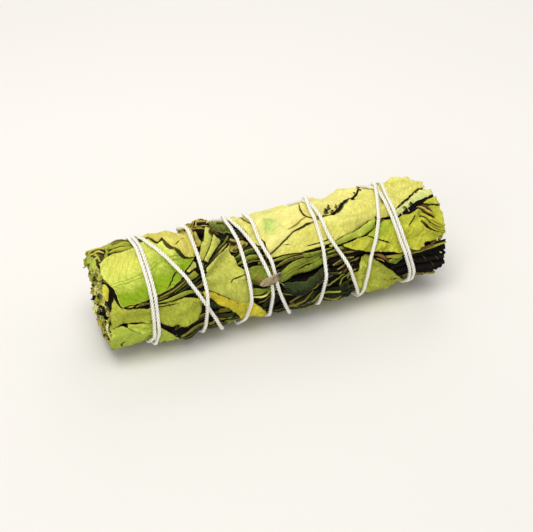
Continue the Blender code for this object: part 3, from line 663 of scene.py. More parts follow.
class Skin:
    """Points, faces and shading values gathered for one piece."""

    usual = {"lines": (FAR, FAR, FAR), "rim": 9.0, "tone": 0.5, "patch": 0.0, "hollow": 0.0}

    def __init__(self) -> None:
        """Starts empty."""
        self.points: list[np.ndarray] = []
        self.faces: list[np.ndarray] = []
        self.values: dict[str, list[np.ndarray]] = {"leaf_at": []}
        self.values.update({key: [] for key in self.usual})
        self.count = 0

    def add(self, points: np.ndarray, faces: np.ndarray, at: np.ndarray,
            **values: np.ndarray) -> None:
        """Adds a part.

        Args:
            points: Its points in metres.
            faces: Its four-cornered faces.
            at: Places on the leaf in millimetres, with the leaf's own number third.
            values: lines, the distances from a crack, past its end and from the midrib; rim,
            the distance from the rim; tone, how deep the colour is, from 0 to 1; patch, the
            share of the patch colour; hollow, how deep it lies beside a higher leaf, painted as
            shade.
        """
        self.points.append(points)
        self.faces.append(faces + self.count)
        self.values["leaf_at"].append(at)
        for key, usual in self.usual.items():
            part = values.get(key)
            if part is None:
                part = np.full((len(points), *np.shape(usual)), usual)
            self.values[key].append(part)
        self.count += len(points)

    def add_sheet(self, outer: np.ndarray, inner: np.ndarray, at: tuple,
                  **values: np.ndarray) -> None:
        """Adds a closed thin sheet.

        Args:
            outer: Grid of points of its outer face, in metres.
            inner: Grid of points of its inner face.
            at: Its places on the leaf along and across, and the leaf's own number.
            values: Other values of its outer face, as in add.
        """
        points = np.concatenate([outer.reshape(-1, 3), inner.reshape(-1, 3)])
        place = np.stack(np.broadcast_arrays(*at), axis=-1).reshape(-1, 3)
        both = {key: np.concatenate([part, part]) for key, part in values.items()}
        self.add(points, shell_faces(*outer.shape[:2]), np.tile(place, (2, 1)), **both)

    def piece(self, name: str, material: bpy.types.Material, slot: str,
              nodes: tuple[str, ...] = ()) -> bpy.types.Object:
        """Makes the object and tells the frame about it.

        Args:
            name: The piece's name.
            material: Its finish.
            slot: Not used.
            nodes: The nodes it stands for.

        Returns:
            The object.
        """
        mesh = bpy.data.meshes.new(name)
        points = np.concatenate(self.points)
        points[:, 2] = np.maximum(points[:, 2], 0.0)
        mesh.from_pydata(points.tolist(), [], np.concatenate(self.faces).tolist())
        built = bmesh.new()
        built.from_mesh(mesh)
        bmesh.ops.recalc_face_normals(built, faces=built.faces)
        built.to_mesh(mesh)
        built.free()
        for key, parts in self.values.items():
            data = np.concatenate(parts).astype(np.float32)
            kind = "FLOAT_VECTOR" if data.ndim == 2 else "FLOAT"
            layer = mesh.attributes.new(key, kind, "POINT")
            layer.data.foreach_set("vector" if data.ndim == 2 else "value", data.ravel())
        mesh.shade_smooth()
        mesh.materials.append(material)
        obj = bpy.data.objects.new(name, mesh)
        bpy.context.scene.collection.objects.link(obj)
        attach(obj, "root")
        if nodes:
            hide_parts(*nodes)
        LOG.info("%s: %d points, %d faces", name, len(mesh.vertices), len(mesh.polygons))
        return obj


def shell_faces(rows: int, columns: int) -> np.ndarray:
    """Faces of a closed thin sheet: an outer grid, an inner grid and the rim between them.

    Args:
        rows: Rows of points on one face.
        columns: Points in each row.

    Returns:
        Four-cornered faces.
    """
    count = rows * columns
    i, j = np.meshgrid(np.arange(rows - 1), np.arange(columns - 1), indexing="ij")
    a = (i * columns + j).ravel()
    top = np.stack([a, a + columns, a + columns + 1, a + 1], axis=1)
    rim = np.concatenate([np.arange(rows) * columns,
                          (rows - 1) * columns + np.arange(1, columns),
                          np.arange(rows - 2, -1, -1) * columns + columns - 1,
                          np.arange(columns - 2, 0, -1)])
    after = np.roll(rim, -1)
    sides = np.stack([rim, after, after + count, rim + count], axis=1)
    return np.concatenate([top, top[:, ::-1] + count, sides])


@dataclass(frozen=True)
class Crease:
    """A raised fold in a leaf along a line of (station, angle) points."""

    line: Edge
    height: float = 0.5
    width: float = 0.7


@dataclass
class Leaf:
    """One leaf between two edges, laid over the layers so far."""

    name: str
    hue: Hue
    slot: str
    edge_a: Edge
    edge_b: Edge
    lift: float = 0.3
    crumple: float = 0.22
    crumple_size: float = 4.5
    torn: float = 0.14
    tone: tuple[float, ...] = (0.35, 0.6)
    rib: float | None = None
    cracks: tuple[Edge, ...] = ()
    creases: tuple[Crease, ...] = ()
    patches: tuple[tuple[float, float, float, float], ...] = ()
    base: Edge = ()
    thickness: float = 0.30
    gap: float = 0.06
    step: float = 0.32
    crest: float = 0.0
    hairs: int = 90
    hair_length: float = 0.5
    seed: int = 0
    smoothing: ClassVar[int] = 36
    tight_smoothing: ClassVar[int] = 7
    hug_reach: ClassVar[float] = 1.2
    hug_share: ClassVar[float] = 0.85
    rim_reach: ClassVar[float] = 1.3
    string_reach: ClassVar[float] = 1.1
    rib_height: ClassVar[float] = 0.14
    rib_width: ClassVar[float] = 0.42
    groove_depth: ClassVar[float] = 0.2
    groove_width: ClassVar[float] = 0.3
    hair_width: ClassVar[float] = 0.035

    def shape_grid(self) -> None:
        """Sets out the leaf's grid of stations and angles, with torn edges."""
        scale = np.array([1.0, MM_PER_DEGREE])
        a, b = np.array(self.edge_a, float) * scale, np.array(self.edge_b, float) * scale
        length = max(np.linalg.norm(np.diff(edge, axis=0), axis=1).sum() for edge in (a, b))
        rows = max(8, int(length / self.step) + 1)
        a, b = curve_through(a, rows), curve_through(b, rows)
        gap = b - a
        width = np.linalg.norm(gap, axis=1)
        columns = max(6, int(width.max() / self.step) + 1)
        across = gap / np.maximum(width, 0.01)[:, None]
        run = np.linspace(0, length, rows)
        room = np.minimum(1.0, width / 3.0) * self.torn
        for edge, side, seed in ((a, 1, 1), (b, -1, 2)):
            tear = Ripple(self.seed * 7 + seed, 6.0).at(run, 0.0)
            tear = tear + 0.45 * Ripple(self.seed * 7 + seed + 3, 1.4).at(run, 0.0)
            edge += side * across * (room * tear)[:, None]
        share = np.linspace(0, 1, columns)
        grid = a[:, None, :] * (1 - share[None, :, None]) + b[:, None, :] * share[None, :, None]
        for end, back in ((0, 1), (-1, -2)):
            run_in = np.linalg.norm(grid - grid[end][None], axis=2)
            fade = np.clip(1 - run_in / 6.0, 0, 1)[..., None] ** 2
            inward = grid[back] - grid[end]
            inward = inward / np.maximum(np.linalg.norm(inward, axis=1), 1e-6)[:, None]
            spread = np.linalg.norm(grid[end][-1] - grid[end][0])
            tear = Ripple(self.seed * 7 + 6 + end, 3.5).at(share * spread, 0.0)
            tear = tear + 0.5 * Ripple(self.seed * 7 + 9 + end, 1.2).at(share * spread, 0.0)
            shift = tear * max(self.torn, 0.25) * 1.3 * min(1.0, spread / 4)
            if self.base and end == 0:
                profile = np.array(self.base)
                shift = shift * 0.6 + np.interp(share, profile[:, 0], profile[:, 1])
            grid = grid + fade * (inward * shift[:, None])[None]
        self.run, self.arc = grid[..., 0], grid[..., 1]
        self.station, self.angle = self.run, self.arc / MM_PER_DEGREE

    def rim_distance(self) -> np.ndarray:
        """Each grid point's distance from the nearest border, in millimetres."""
        cell_i = np.hypot(np.diff(self.run, axis=0), np.diff(self.arc, axis=0))
        cell_j = np.hypot(np.diff(self.run, axis=1), np.diff(self.arc, axis=1))
        along = np.concatenate([np.zeros((1, cell_i.shape[1])), np.cumsum(cell_i, axis=0)])
        across = np.concatenate([np.zeros((cell_j.shape[0], 1)), np.cumsum(cell_j, axis=1)], 1)
        self.across = across - across[:, -1:] / 2
        self.along = along
        return np.minimum(np.minimum(along, along[-1] - along),
                          np.minimum(across, across[:, -1:] - across))

    def lay(self, layers: Layers, string_distance: Layers) -> None:
        """Finds the sheet that clears the layers so far, and adds it to them.

        Args:
            layers: The map so far.
            string_distance: Distance of each cell from the string, which presses leaves down.
        """
        self.shape_grid()
        self.rim = self.rim_distance()
        need = layers.spread(0.3, np.max).read(self.station, self.angle) + self.gap
        held, tight = need.copy(), need
        for turn in range(self.smoothing):
            padded = np.pad(held, 1, mode="edge")
            held = (padded[:-2, 1:-1] + padded[2:, 1:-1] + padded[1:-1, :-2]
                    + padded[1:-1, 2:]) / 4
            held = np.maximum(held, need)
            if turn == self.tight_smoothing:
                tight = held
        held = held + (tight - held) * bell(self.rim, self.hug_reach) * self.hug_share
        wrinkle = Ripple(self.seed + 40, self.crumple_size).at(self.run, self.arc)
        small = Ripple(self.seed + 50, self.crumple_size * 0.3).at(self.run, self.arc)
        relief = self.crumple * (0.5 + 0.5 * wrinkle + 0.22 * small)
        flutter = 0.6 + 0.4 * Ripple(self.seed + 60, 7.0).at(self.run, self.arc)
        relief = relief + self.lift * flutter * bell(self.rim, self.rim_reach)
        for crease in self.creases:
            off, past = line_offsets(crease.line, self.run, self.arc)
            fade = np.clip(1 - np.maximum(past, 0) / 1.5, 0, 1)
            relief = relief + crease.height * bell(off, crease.width) * fade
        loose = 1 - 0.9 * bell(string_distance.read(self.station, self.angle),
                               self.string_reach)
        share = np.linspace(-1, 1, self.run.shape[1])[None, :]
        self.inner = held + np.maximum(relief, 0) * loose + self.crest * (1 - share**2)
        self.outer = self.inner + self.thickness * (0.55 + 0.45 * np.clip(self.rim / 0.7, 0, 1))
        layers.lay(self.station, self.angle, self.outer)
        self.near = layers.spread(0.25, np.max).read(self.station, self.angle)

    def line_values(self) -> np.ndarray:
        """Distance from the nearest crack, past its end, and from the midrib."""
        crack, past = np.full(self.run.shape, FAR), np.full(self.run.shape, FAR)
        for line in self.cracks:
            off, over = line_offsets(line, self.run, self.arc)
            nearer = np.abs(off) < np.abs(crack)
            crack, past = np.where(nearer, off, crack), np.where(nearer, over, past)
        rib = np.full(self.run.shape, FAR)
        if self.rib is not None:
            share = np.linspace(0, 1, self.run.shape[1])[None, :]
            rib = (share - self.rib) * (self.across[:, -1:] - self.across[:, :1])
        return np.stack([crack, past, rib], axis=-1).reshape(-1, 3)

    def radii(self, shape: Shape) -> tuple[np.ndarray, np.ndarray]:
        """Distances of the leaf's two faces from the axis."""
        return (shape.radius(self.station, self.angle, self.inner),
                shape.radius(self.station, self.angle, self.outer))

    def add_to(self, skin: Skin, shape: Shape) -> None:
        """Adds the leaf's mesh to a piece.

        Args:
            skin: The piece.
            shape: The bunch's form.
        """
        inner, outer = self.radii(shape)
        lines = self.line_values()
        if self.rib is not None:
            outer = outer + self.rib_height * bell(lines[:, 2].reshape(outer.shape),
                                                   self.rib_width)
        groove = bell(lines[:, 0].reshape(outer.shape), self.groove_width)
        inside = np.clip(-lines[:, 1].reshape(outer.shape), 0, 1)
        outer = outer - self.groove_depth * groove * inside
        share = np.linspace(0, 1, self.run.shape[1])[None, :] + 0 * self.run
        tone = np.interp(share, np.linspace(0, 1, len(self.tone)), self.tone).ravel()
        patch = np.zeros(self.run.shape)
        for station, angle, reach, amount in self.patches:
            off = np.hypot(self.run - station, (self.angle - angle) * MM_PER_DEGREE)
            patch = patch + amount * bell(off, reach)
        # Painted shade: how far the leaves round about rise above this one, which darkens it in
        # its material.
        hollow = shape.near.read(self.station, self.angle) - self.near
        hollow = np.clip(hollow / 0.8, 0, 1).ravel()
        skin.add_sheet(shape.place(self.station, self.angle, outer),
                       shape.place(self.station, self.angle, inner),
                       (self.along, self.across, LEAF_SPACING * self.seed), lines=lines,
                       rim=self.rim.ravel(), tone=tone, patch=patch.ravel(), hollow=hollow)

    def build(self, shape: Shape, suffix: str = "_dried") -> bpy.types.Object:
        """The leaf as its own piece, which stands for the node of its name.

        Args:
            shape: The bunch's form.
            suffix: What the piece's name has after the node's.

        Returns:
            The piece.
        """
        skin = Skin()
        self.add_to(skin, shape)
        self.add_hairs(skin, shape)
        return skin.piece(self.name + suffix, self.hue.material(), self.slot, (self.name,))

    def add_hairs(self, skin: Skin, shape: Shape) -> None:
        """Adds fine woolly hairs, most of them near the rim.

        Args:
            skin: The piece.
            shape: The bunch's form.
        """
        count, length = self.hairs, self.hair_length
        draw = np.random.default_rng(self.seed + 900)
        rows, columns = self.run.shape
        i = draw.integers(1, rows - 1, count)
        j = np.where(draw.uniform(size=count) < 0.6,
                     np.where(draw.uniform(size=count) < 0.5, 0, columns - 1),
                     draw.integers(0, columns, count))
        radius = self.radii(shape)[1][i, j] - 0.02
        root = np.stack([self.run[i, j], self.angle[i, j], radius], axis=1)
        lean = draw.normal(0, 0.55, (count, 2)) * length
        tip = root + np.stack([lean[:, 0], lean[:, 1] / MM_PER_DEGREE,
                               draw.uniform(0.25, 0.8, count) * length], axis=1)
        mid = (root + tip) / 2 + np.array([0, 0, 0.12 * length])
        add_blades(skin, shape, [root, mid, tip], self.hair_width, self.seed)


def spike_faces(count: int) -> np.ndarray:
    """Faces of three-sided spikes, each of three rings of three points.

    Args:
        count: Number of spikes.

    Returns:
        Four-cornered faces.
    """
    quads = np.array([(a + 3 * k, a + 3 * k + 3, (a + 1) % 3 + 3 * k + 3, (a + 1) % 3 + 3 * k)
                      for k in (0, 1) for a in range(3)])
    return (quads[None] + 9 * np.arange(count)[:, None, None]).reshape(-1, 4)


def add_blades(skin: Skin, shape: Shape, steps: list[np.ndarray], width: float,
               seed: int) -> None:
    """Adds hairs as slim three-sided slivers.

    Args:
        skin: The piece.
        shape: The bunch's form.
        steps: Root, middle and tip as (station, angle, radius) rows.
        width: Width at the root in millimetres.
        seed: The leaf's number, for its shading.
    """
    ring = []
    for share, step in zip((1.0, 0.7, 0.15), steps):
        middle = shape.place(step[:, 0], step[:, 1], step[:, 2])
        for off in ((1, 0, 0), (-0.5, 0.87, 0), (-0.5, -0.87, 0)):
            ring.append(middle + np.array(off) * width * share * 0.5 * MM)
    points = np.stack(ring, axis=1).reshape(-1, 3)
    at = np.tile([[0.0, 0.0, LEAF_SPACING * seed]], (len(points), 1))
    skin.add(points, spike_faces(len(steps[0])), at, tone=np.full(len(points), 0.1))


# The string's route, as in the frame: (angle, station), one list for each turn

STRING_TURNS = (
    ((-128, -40.6), (-110, -39.6), (-36, -39.4), (50, -39.35), (140, -39.4), (235, -39.4)),
    ((-36, -38.2), (50, -38.2), (140, -38.2), (235, -38.0)),
    ((-36, -36.8), (-10, -36.0), (22, -32.2), (54, -28.2), (74, -25.4), (109, -21), (140, -17.8),
     (158, -17.0), (180, -17.4), (215, -17.4)),
    ((-36, -12.7), (-18, -10.2), (0, -9.3), (31, -7), (64, -4.9), (90, -4.1), (125, -3.9),
     (180, -3.2), (215, -1.6)),
    ((-36, 13), (3, 14.4), (40, 15.4), (74, 19), (95, 21), (139, 25), (160, 26.6), (190, 28.4),
     (230, 31)),
    ((-36, 34.6), (-14, 36.0), (15, 35.75), (40, 35.75), (80, 37.55), (102, 39.35), (140, 40.4),
     (230, 40.5)),
    ((-36, 39.4), (15, 37.0), (40, 36.95), (80, 38.75), (102, 40.55), (140, 41.6), (230, 41.9)),
    ((-60, 40.2), (-36, 37.6), (-14, 35.9), (4, 34.2), (45, 30), (81, 26.3), (105, 25.3),
     (139, 25), (162, 24.6), (190, 22.6), (230, 19.5)),
    ((-36, 15.2), (3, 12.9), (41, 12.8), (85, 12), (139, 11), (162, 10.4), (190, 8.4), (225, 6.6)),
    ((-36, -3.8), (5, -5), (24, -5.0), (56, -3.4), (80, -2.6), (111, 0), (140, 3.2), (160, 4.6),
     (185, 4.0), (215, 1.0)),
    ((-36, -10.4), (-15, -11.4), (5, -11.4), (46, -11), (100, -11), (135, -12), (180, -13),
     (215, -14.6)),
    ((-36, -24), (34, -23.4), (91, -24), (140, -24.2), (160, -24.5), (185, -26.4), (225, -32.6),
     (243, -36.0)),
)


class StringRoute:
    """The string's way round the bunch, as stations over an angle that keeps growing."""

    def __init__(self) -> None:
        """Joins the turns into one curve."""
        turned = [(angle + 360 * k, station)
                  for k, turn in enumerate(STRING_TURNS) for angle, station in turn]
        self.angles, self.stations = (np.array(part, float) for part in zip(*turned))
        self.slopes = np.gradient(self.stations, self.angles)

    def station(self, angle: np.ndarray) -> np.ndarray:
        """The station at an angle that keeps growing."""
        return hermite(self.angles, self.stations, self.slopes, np.asarray(angle, float))

    def distance(self) -> Layers:
        """A map of each cell's distance from the string, in millimetres."""
        grid = Layers(FAR)
        fine = np.arange(self.angles[0], self.angles[-1], 2.0)
        for angle, station in zip(fine, self.station(fine)):
            off = (grid.angles - angle + 180) % 360 - 180
            close = np.abs(off) < 30
            reach = np.hypot(grid.stations[:, None] - station, off[None, close] * MM_PER_DEGREE)
            grid.top[:, close] = np.minimum(grid.top[:, close], reach)
        return grid


@dataclass
class CottonString:
    """The cotton string: three plies twisted, from the knot to the far end and back."""

    shape: Shape
    layers: Layers
    route: StringRoute
    diameter: float = 1.1
    bite: float = 0.04
    ply_radius: float = 0.29
    ply_offset: float = 0.27
    lay_length: float = 3.3
    ply_sides: int = 7
    fuzz: int = 2600
    knot_angle: float = 262.0
    knot_station: float = -38.2
    knot_scale: float = 0.82
    knot_above: float = 1.95
    loose_threads: tuple[Edge, ...] = (((-2.2, 79), (-1.2, 80.5), (-0.4, 84)),
                                       ((12, 86), (12.8, 84.6), (13.6, 86)))

    def run(self) -> None:
        """Finds the string's distance from the axis all along its route."""
        self.angle = np.arange(self.route.angles[0], self.route.angles[-1] + 0.1, 1.0)
        self.station = self.route.station(self.angle)
        ground = self.layers.spread(0.5, np.max).read(self.station, self.angle)
        need = self.shape.radius(self.station, self.angle, ground) + self.diameter / 2 - self.bite
        apart = self.diameter * 0.98
        for i in range(120, len(need)):
            before = np.arange(i - 120)
            off = (self.angle[before] - self.angle[i] + 180) % 360 - 180
            gap = np.hypot(off * MM_PER_DEGREE, self.station[before] - self.station[i])
            met = before[gap < apart]
            if len(met):
                need[i] = max(need[i], (need[met] + np.sqrt(apart**2 - gap[met] ** 2)).max())
        held = need.copy()
        for reach in (1, 3, 6, 3, 1, 1, 1):
            cosine = math.cos(math.radians(reach))
            for _ in range(30):
                chord = 2 * held[:-2 * reach] * held[2 * reach:] * cosine
                chord = chord / (held[:-2 * reach] + held[2 * reach:])
                held[reach:-reach] = np.maximum(held[reach:-reach], chord)
        self.radius = held

    def knot(self) -> tuple[np.ndarray, np.ndarray, np.ndarray]:
        """Stations, angles and radii of the overhand knot and its loose end."""
        t = np.linspace(math.pi + 0.5, 3 * math.pi - 0.5, 26)
        loops = np.stack([np.sin(t) + 2 * np.sin(2 * t), np.cos(t) - 2 * np.cos(2 * t),
                          -np.sin(3 * t) * 0.75], axis=1)
        steps = np.concatenate([[(1.6, -4.9, -1.2), (1.35, -3.5, 0.1)], loops,
                                [(-1.7, -3.5, -1.2), (-3.0, -4.7, -1.75), (-4.8, -5.6, -1.75)]])
        return (self.knot_station + steps[:, 0] * self.knot_scale,
                self.knot_angle + steps[:, 1] * self.knot_scale / MM_PER_DEGREE,
                self.radius[-1] + self.knot_above + steps[:, 2])

    def path(self) -> np.ndarray:
        """Even points of the string's middle in metres."""
        knot = self.knot()
        route = self.shape.place(self.station, self.angle, self.radius)
        tied = self.shape.place(*knot)
        path = np.concatenate([route[:-3], tied])
        path[:, 2] = np.maximum(path[:, 2], (self.diameter / 2 + 0.1) * MM)
        length = np.linalg.norm(np.diff(path, axis=0), axis=1).sum()
        LOG.info("string: %.2f m long", length)
        return curve_through(path, int(length / (0.30 * MM)))

    def build(self) -> bpy.types.Object:
        """The string as one piece with its fuzz."""
        self.run()
        path = self.path()
        ahead = np.gradient(path, axis=0)
        ahead /= np.linalg.norm(ahead, axis=1)[:, None]
        out = path - np.array([0.0, AXIS_Y * MM, AXIS_HEIGHT * MM])
        out[:, 0] = 0
        side = np.cross(ahead, out)
        side /= np.linalg.norm(side, axis=1)[:, None]
        out = np.cross(side, ahead)
        run = np.r_[0, np.cumsum(np.linalg.norm(np.diff(path, axis=0), axis=1))] / MM
        skin = Skin()
        sides = np.arange(self.ply_sides) * math.tau / self.ply_sides
        ends = np.clip(np.minimum(run, run[-1] - run) / 0.5, 0.25, 1)[:, None]
        for ply in range(3):
            turn = math.tau * (run / self.lay_length + ply / 3)
            away = np.cos(turn)[:, None] * out + np.sin(turn)[:, None] * side
            beside = -np.sin(turn)[:, None] * out + np.cos(turn)[:, None] * side
            middle = path + away * self.ply_offset * MM
            swell = self.ply_radius * MM * (1 + 0.06 * np.sin(run * 0.9 + ply))[:, None] * ends
            rings = [middle + swell * (math.cos(b) * away + math.sin(b) * beside) for b in sides]
            points = np.stack(rings, axis=1).reshape(-1, 3)
            # Painted shade on the side of each ply that faces the others, in the groove between
            # plies.
            groove = np.tile(np.clip(0.5 - 0.65 * np.cos(sides), 0, 1), len(path))
            at = np.stack([np.repeat(run, self.ply_sides), np.tile(sides * 0.3, len(path)),
                           np.full(len(points), 5.0 * ply)], axis=1)
            skin.add(points, tube_faces(len(path), self.ply_sides), at, tone=groove)
        self.add_fuzz(skin, path, ahead, out, side)
        for thread in self.loose_threads:
            x, a = np.array(thread, float).T
            radius = self.shape.radius(x, a, self.layers.read(x, a) + 0.5)
            add_blades(skin, self.shape, list(np.stack([x, a, radius], axis=1)[:, None]), 0.35, 0)
        return skin.piece("string_twisted", CottonFinish().material(), "cotton", ("string",))

    def add_fuzz(self, skin: Skin, path: np.ndarray, ahead: np.ndarray, out: np.ndarray,
                 side: np.ndarray) -> None:
        """Adds loose fibres along the string and a brush of them at its cut end.

        Args:
            skin: The piece.
            path: Points of the string's middle.
            ahead: Directions along it.
            out: Directions away from the bunch.
            side: Directions beside it.
        """
        draw = np.random.default_rng(SEED + 5)
        index = np.concatenate([draw.integers(5, len(path) - 5, self.fuzz),
                                draw.integers(len(path) - 6, len(path) - 1, 60)])
        turn = draw.uniform(-2.0, 2.0, len(index))[:, None]
        away = np.cos(turn) * out[index] + np.sin(turn) * side[index]
        along = ahead[index] * np.where(draw.uniform(size=len(index)) < 0.5, 1, -1)[:, None]
        length = draw.uniform(0.3, 1.1, len(index))[:, None] * MM
        root = path[index] + away * 0.48 * MM
        mid = root + along * length * 0.5 + away * length * 0.16
        tip = mid + along * length * 0.4 + away * length * 0.30
        rings = []
        for share, middle in zip((1.0, 0.8, 0.2), (root, mid, tip)):
            for bend in (0.0, 2.1, 4.2):
                off = math.cos(bend) * away + math.sin(bend) * side[index]
                rings.append(middle + off * 0.018 * share * MM)
        points = np.stack(rings, axis=1).reshape(-1, 3)
        skin.add(points, spike_faces(len(index)), np.zeros((len(points), 3)),
                 tone=np.zeros(len(points)))


def tube_faces(rings: int, sides: int) -> np.ndarray:
    """Faces of a tube between its rings of points, with its ends left open.

    Args:
        rings: Number of rings of points.
        sides: Points in each ring, an odd number.

    Returns:
        Four-cornered faces.
    """
    i, j = np.meshgrid(np.arange(rings - 1), np.arange(sides), indexing="ij")
    a, b = i * sides + j, i * sides + (j + 1) % sides
    return np.stack([a, b, b + sides, a + sides], axis=-1).reshape(-1, 4)


# The leaves on the side that shows, deepest first

SLOT_OF = {Hue.SUN_YELLOW: "pale_yellow", Hue.PALE_YELLOW: "pale_yellow",
           Hue.WARM_YELLOW: "yellow_green", Hue.GOLD_GREEN: "yellow_green",
           Hue.FRESH: "green", Hue.GREEN: "green", Hue.OLIVE: "olive",
           Hue.PALE_GREEN: "pale_green", Hue.WHITISH: "pale_green",
           Hue.OCHRE: "ochre", Hue.MOSS: "dark_green", Hue.SHADE_GREEN: "green",
           Hue.DARK_GREEN: "inner", Hue.DRY_OLIVE: "inner", Hue.BROWN: "bark",
           Hue.BLACK: "dark_brown", Hue.RUST: "inner", Hue.CRUMB: "inner", Hue.SCRAP: "bark"}


def laid(name: str, hue: Hue, edge_a: Edge, edge_b: Edge, slot: str = "",
         **more: object) -> Leaf:
    """A leaf with the slot of its hue unless another is given.

    Args:
        name: The node's name, or the extra leaf's own.
        hue: Its finish.
        edge_a: Its upper edge from base to tip.
        edge_b: Its lower edge.
        slot: The record's material slot.
        more: Other fields of Leaf.

    Returns:
        The leaf.
    """
    return Leaf(name, hue, slot or SLOT_OF[hue], edge_a, edge_b, **more)


def sliver(name: str, hue: Hue, line: Edge, width: float, **more: object) -> Leaf:
    """A slender folded leaf along a line of (station, angle) points.

    Args:
        name: The leaf's name.
        hue: Its finish.
        line: Its middle.
        width: Its width in millimetres.
        more: Other fields of Leaf.

    Returns:
        The leaf.
    """
    points = np.array(line, float) * (1.0, MM_PER_DEGREE)
    ahead = np.gradient(points, axis=0)
    beside = np.stack([-ahead[:, 1], ahead[:, 0]], axis=1)
    beside /= np.linalg.norm(beside, axis=1)[:, None]
    share = np.linspace(0, 1, len(points))[:, None]
    half = width / 2 * np.maximum(0.28, np.sin(math.pi * (0.1 + 0.8 * share)))
    edges = [tuple(map(tuple, (points + side * beside * half) / (1.0, MM_PER_DEGREE)))
             for side in (-1, 1)]
    more = {"lift": 0.0, "crumple": 0.10, "torn": 0.12, "crest": 0.35, "gap": 0.02,
            "thickness": 0.35, "step": 0.4, "tone": (0.2, 0.8), **more}
    return Leaf(name, hue, SLOT_OF[hue], *edges, **more)


def front_leaves() -> list[Leaf]:
    """The leaves that show in front, in the order they are laid."""
    return left_end_leaves() + dark_folds() + middle_leaves() + right_end_leaves() + top_leaves()


def left_end_leaves() -> list[Leaf]:
    """The deeper folds at the cut end and under the large leaves near it, with near-black sheets
    of painted shade in their gaps.
    """
    olive, black = Hue.DRY_OLIVE, Hue.BLACK
    return [
        laid("end_cover", Hue.OLIVE, ((-51.0, -64), (-46, -66), (-40, -64)),
             ((-51.2, -20), (-47, -18), (-41, -20)), lift=0.0, tone=(0.6, 0.3)),
        # Near-black sheets of painted shade in the gaps under the leaves.
        laid("end_hollow", black, ((-51.6, 33), (-49.0, 38), (-46, 42)),
             ((-51.2, 66), (-48.5, 70), (-40, 76)), torn=0.3),
        laid("left_hollow", black, ((-41, 58), (-33, 50), (-26, 42)),
             ((-40, 78), (-32, 76), (-23, 80)), crumple=0.3),
        laid("low_hollow", black, ((-38, 92), (-30, 100), (-23, 86)),
             ((-34, 144), (-28, 144), (-19, 132)), crumple=0.5, crumple_size=2.2),
        sliver("gap_bit_1", Hue.OCHRE, ((-46.6, 66.5), (-45.2, 67), (-43.9, 66.8)), 0.7),
        sliver("gap_bit_2", olive, ((-44, 68.5), (-42, 68), (-39.6, 69.5)), 0.9),
        laid("left_fold_1", Hue.OLIVE, ((-38, 62.5), (-34.7, 58.5), (-29.6, 51), (-25.6, 44)),
             ((-37, 67.5), (-33.4, 65.5), (-28.6, 57), (-24.8, 50)), lift=0.1,
             tone=(1.0, 1.5), patches=((-36, 65, 1.6, 0.9),)),
        sliver("left_fold_2", Hue.DARK_GREEN, ((-35, 69), (-31, 65), (-26.5, 58), (-24, 52)), 1.2),
        sliver("left_fold_3", olive, ((-37, 64), (-32, 58.5), (-28, 51)), 0.5, crest=0.6),
        sliver("left_fold_4", Hue.DARK_GREEN, ((-31, 69), (-28, 65), (-24, 57)), 0.9),
        sliver("left_fold_5", Hue.SHADE_GREEN, ((-37.5, 70.4), (-32.7, 67.5), (-27.9, 66),
                                                (-24, 71)), 1.1, tone=(-0.1, 0.5)),
        sliver("left_fold_6", olive, ((-26.5, 63), (-24.5, 62), (-22.5, 56)), 0.9),
        sliver("low_fold_1", olive, ((-32, 106), (-27, 101), (-22, 98)), 1.0),
        sliver("low_fold_2", Hue.DARK_GREEN, ((-33, 114), (-27, 108), (-20, 104)), 1.6),
        sliver("low_fold_3", olive, ((-31, 128), (-26, 121), (-20, 113)), 1.0),
        sliver("low_fold_4", Hue.DARK_GREEN, ((-31, 136), (-25, 131), (-17, 124)), 1.8),
        laid("tip_fold", Hue.PALE_GREEN, ((-28.4, 39), (-27.0, 30), (-24.6, 28)),
             ((-27.4, 45), (-26.0, 42.5), (-24.4, 40)), lift=0.3, crumple=0.5,
             crumple_size=1.5, step=0.25, tone=(0.0, 0.9),
             cracks=(((-27.6, 40), (-26.6, 36), (-25.8, 37)),)),
        # Brown curl: its own brown, deepened towards its lower edge by painted shade.
        laid("leaf_end_curl", Hue.BROWN, ((-51.6, -14), (-49, -15), (-46, -11), (-43.8, -8)),
             ((-51.4, 17), (-49.8, 15), (-47.2, 9), (-44.2, 1)), lift=0.1, crumple=0.4,
             crumple_size=2.5, tone=(0.5, 1.0, 1.5)),
        # Near-black sliver of painted shade under the curled lips.
        sliver("curl_dark", black, ((-51.0, -15.5), (-49.4, -18), (-47.4, -13)), 1.0,
               step=0.2, crest=0.0),
        sliver("curl_lip_1", Hue.PALE_YELLOW, ((-51.8, -18), (-50.4, -22.5), (-48.6, -22.5),
                                               (-46.8, -13)), 0.4, step=0.2, crest=0.3),
        sliver("curl_lip_2", Hue.PALE_YELLOW, ((-51.7, -11), (-49.4, -13), (-46.9, -7)), 0.35,
               step=0.2, crest=0.3),
        laid("leaf_top_strip", Hue.OLIVE, ((-46.4, -26), (-43, -30), (-34, -30)),
             ((-49.4, 13), (-44, 7), (-34, 2)), slot="yellow_green", lift=0.1, crumple=0.6,
             crumple_size=2.4, tone=(0.25, 0.8), torn=0.3,
             cracks=(((-48.5, 4), (-44.5, -1), (-41, -4)), ((-47, -9), (-43, -13), (-39, -17)),
                     ((-43.5, 4.5), (-41.8, 0), (-41, -4)))),
        sliver("strip_fold_1", Hue.OLIVE, ((-49.4, 10), (-46, 5.5), (-42.6, 3),
                                                 (-39, -3)), 1.5, tone=(-0.2, 0.7)),
        sliver("strip_fold_2", Hue.OLIVE, ((-47.0, 1), (-44.5, -4.5), (-40.5, -9), (-36, -12)),
               1.7, tone=(-0.2, 0.6), crest=0.6),
        sliver("strip_fold_3", Hue.GOLD_GREEN, ((-46.5, -8), (-43, -14), (-38, -20)), 1.7,
               tone=(0.3, 1.2), crest=0.6),
        sliver("strip_fold_4", Hue.DRY_OLIVE, ((-45, -20), (-40, -26), (-35, -30)), 2.0,
               crest=0.5),
        sliver("strip_fold_5", Hue.OLIVE, ((-40, 1.5), (-37, -5), (-35, -13)), 1.4,
               tone=(0.2, 0.8), crest=0.5),
    ]


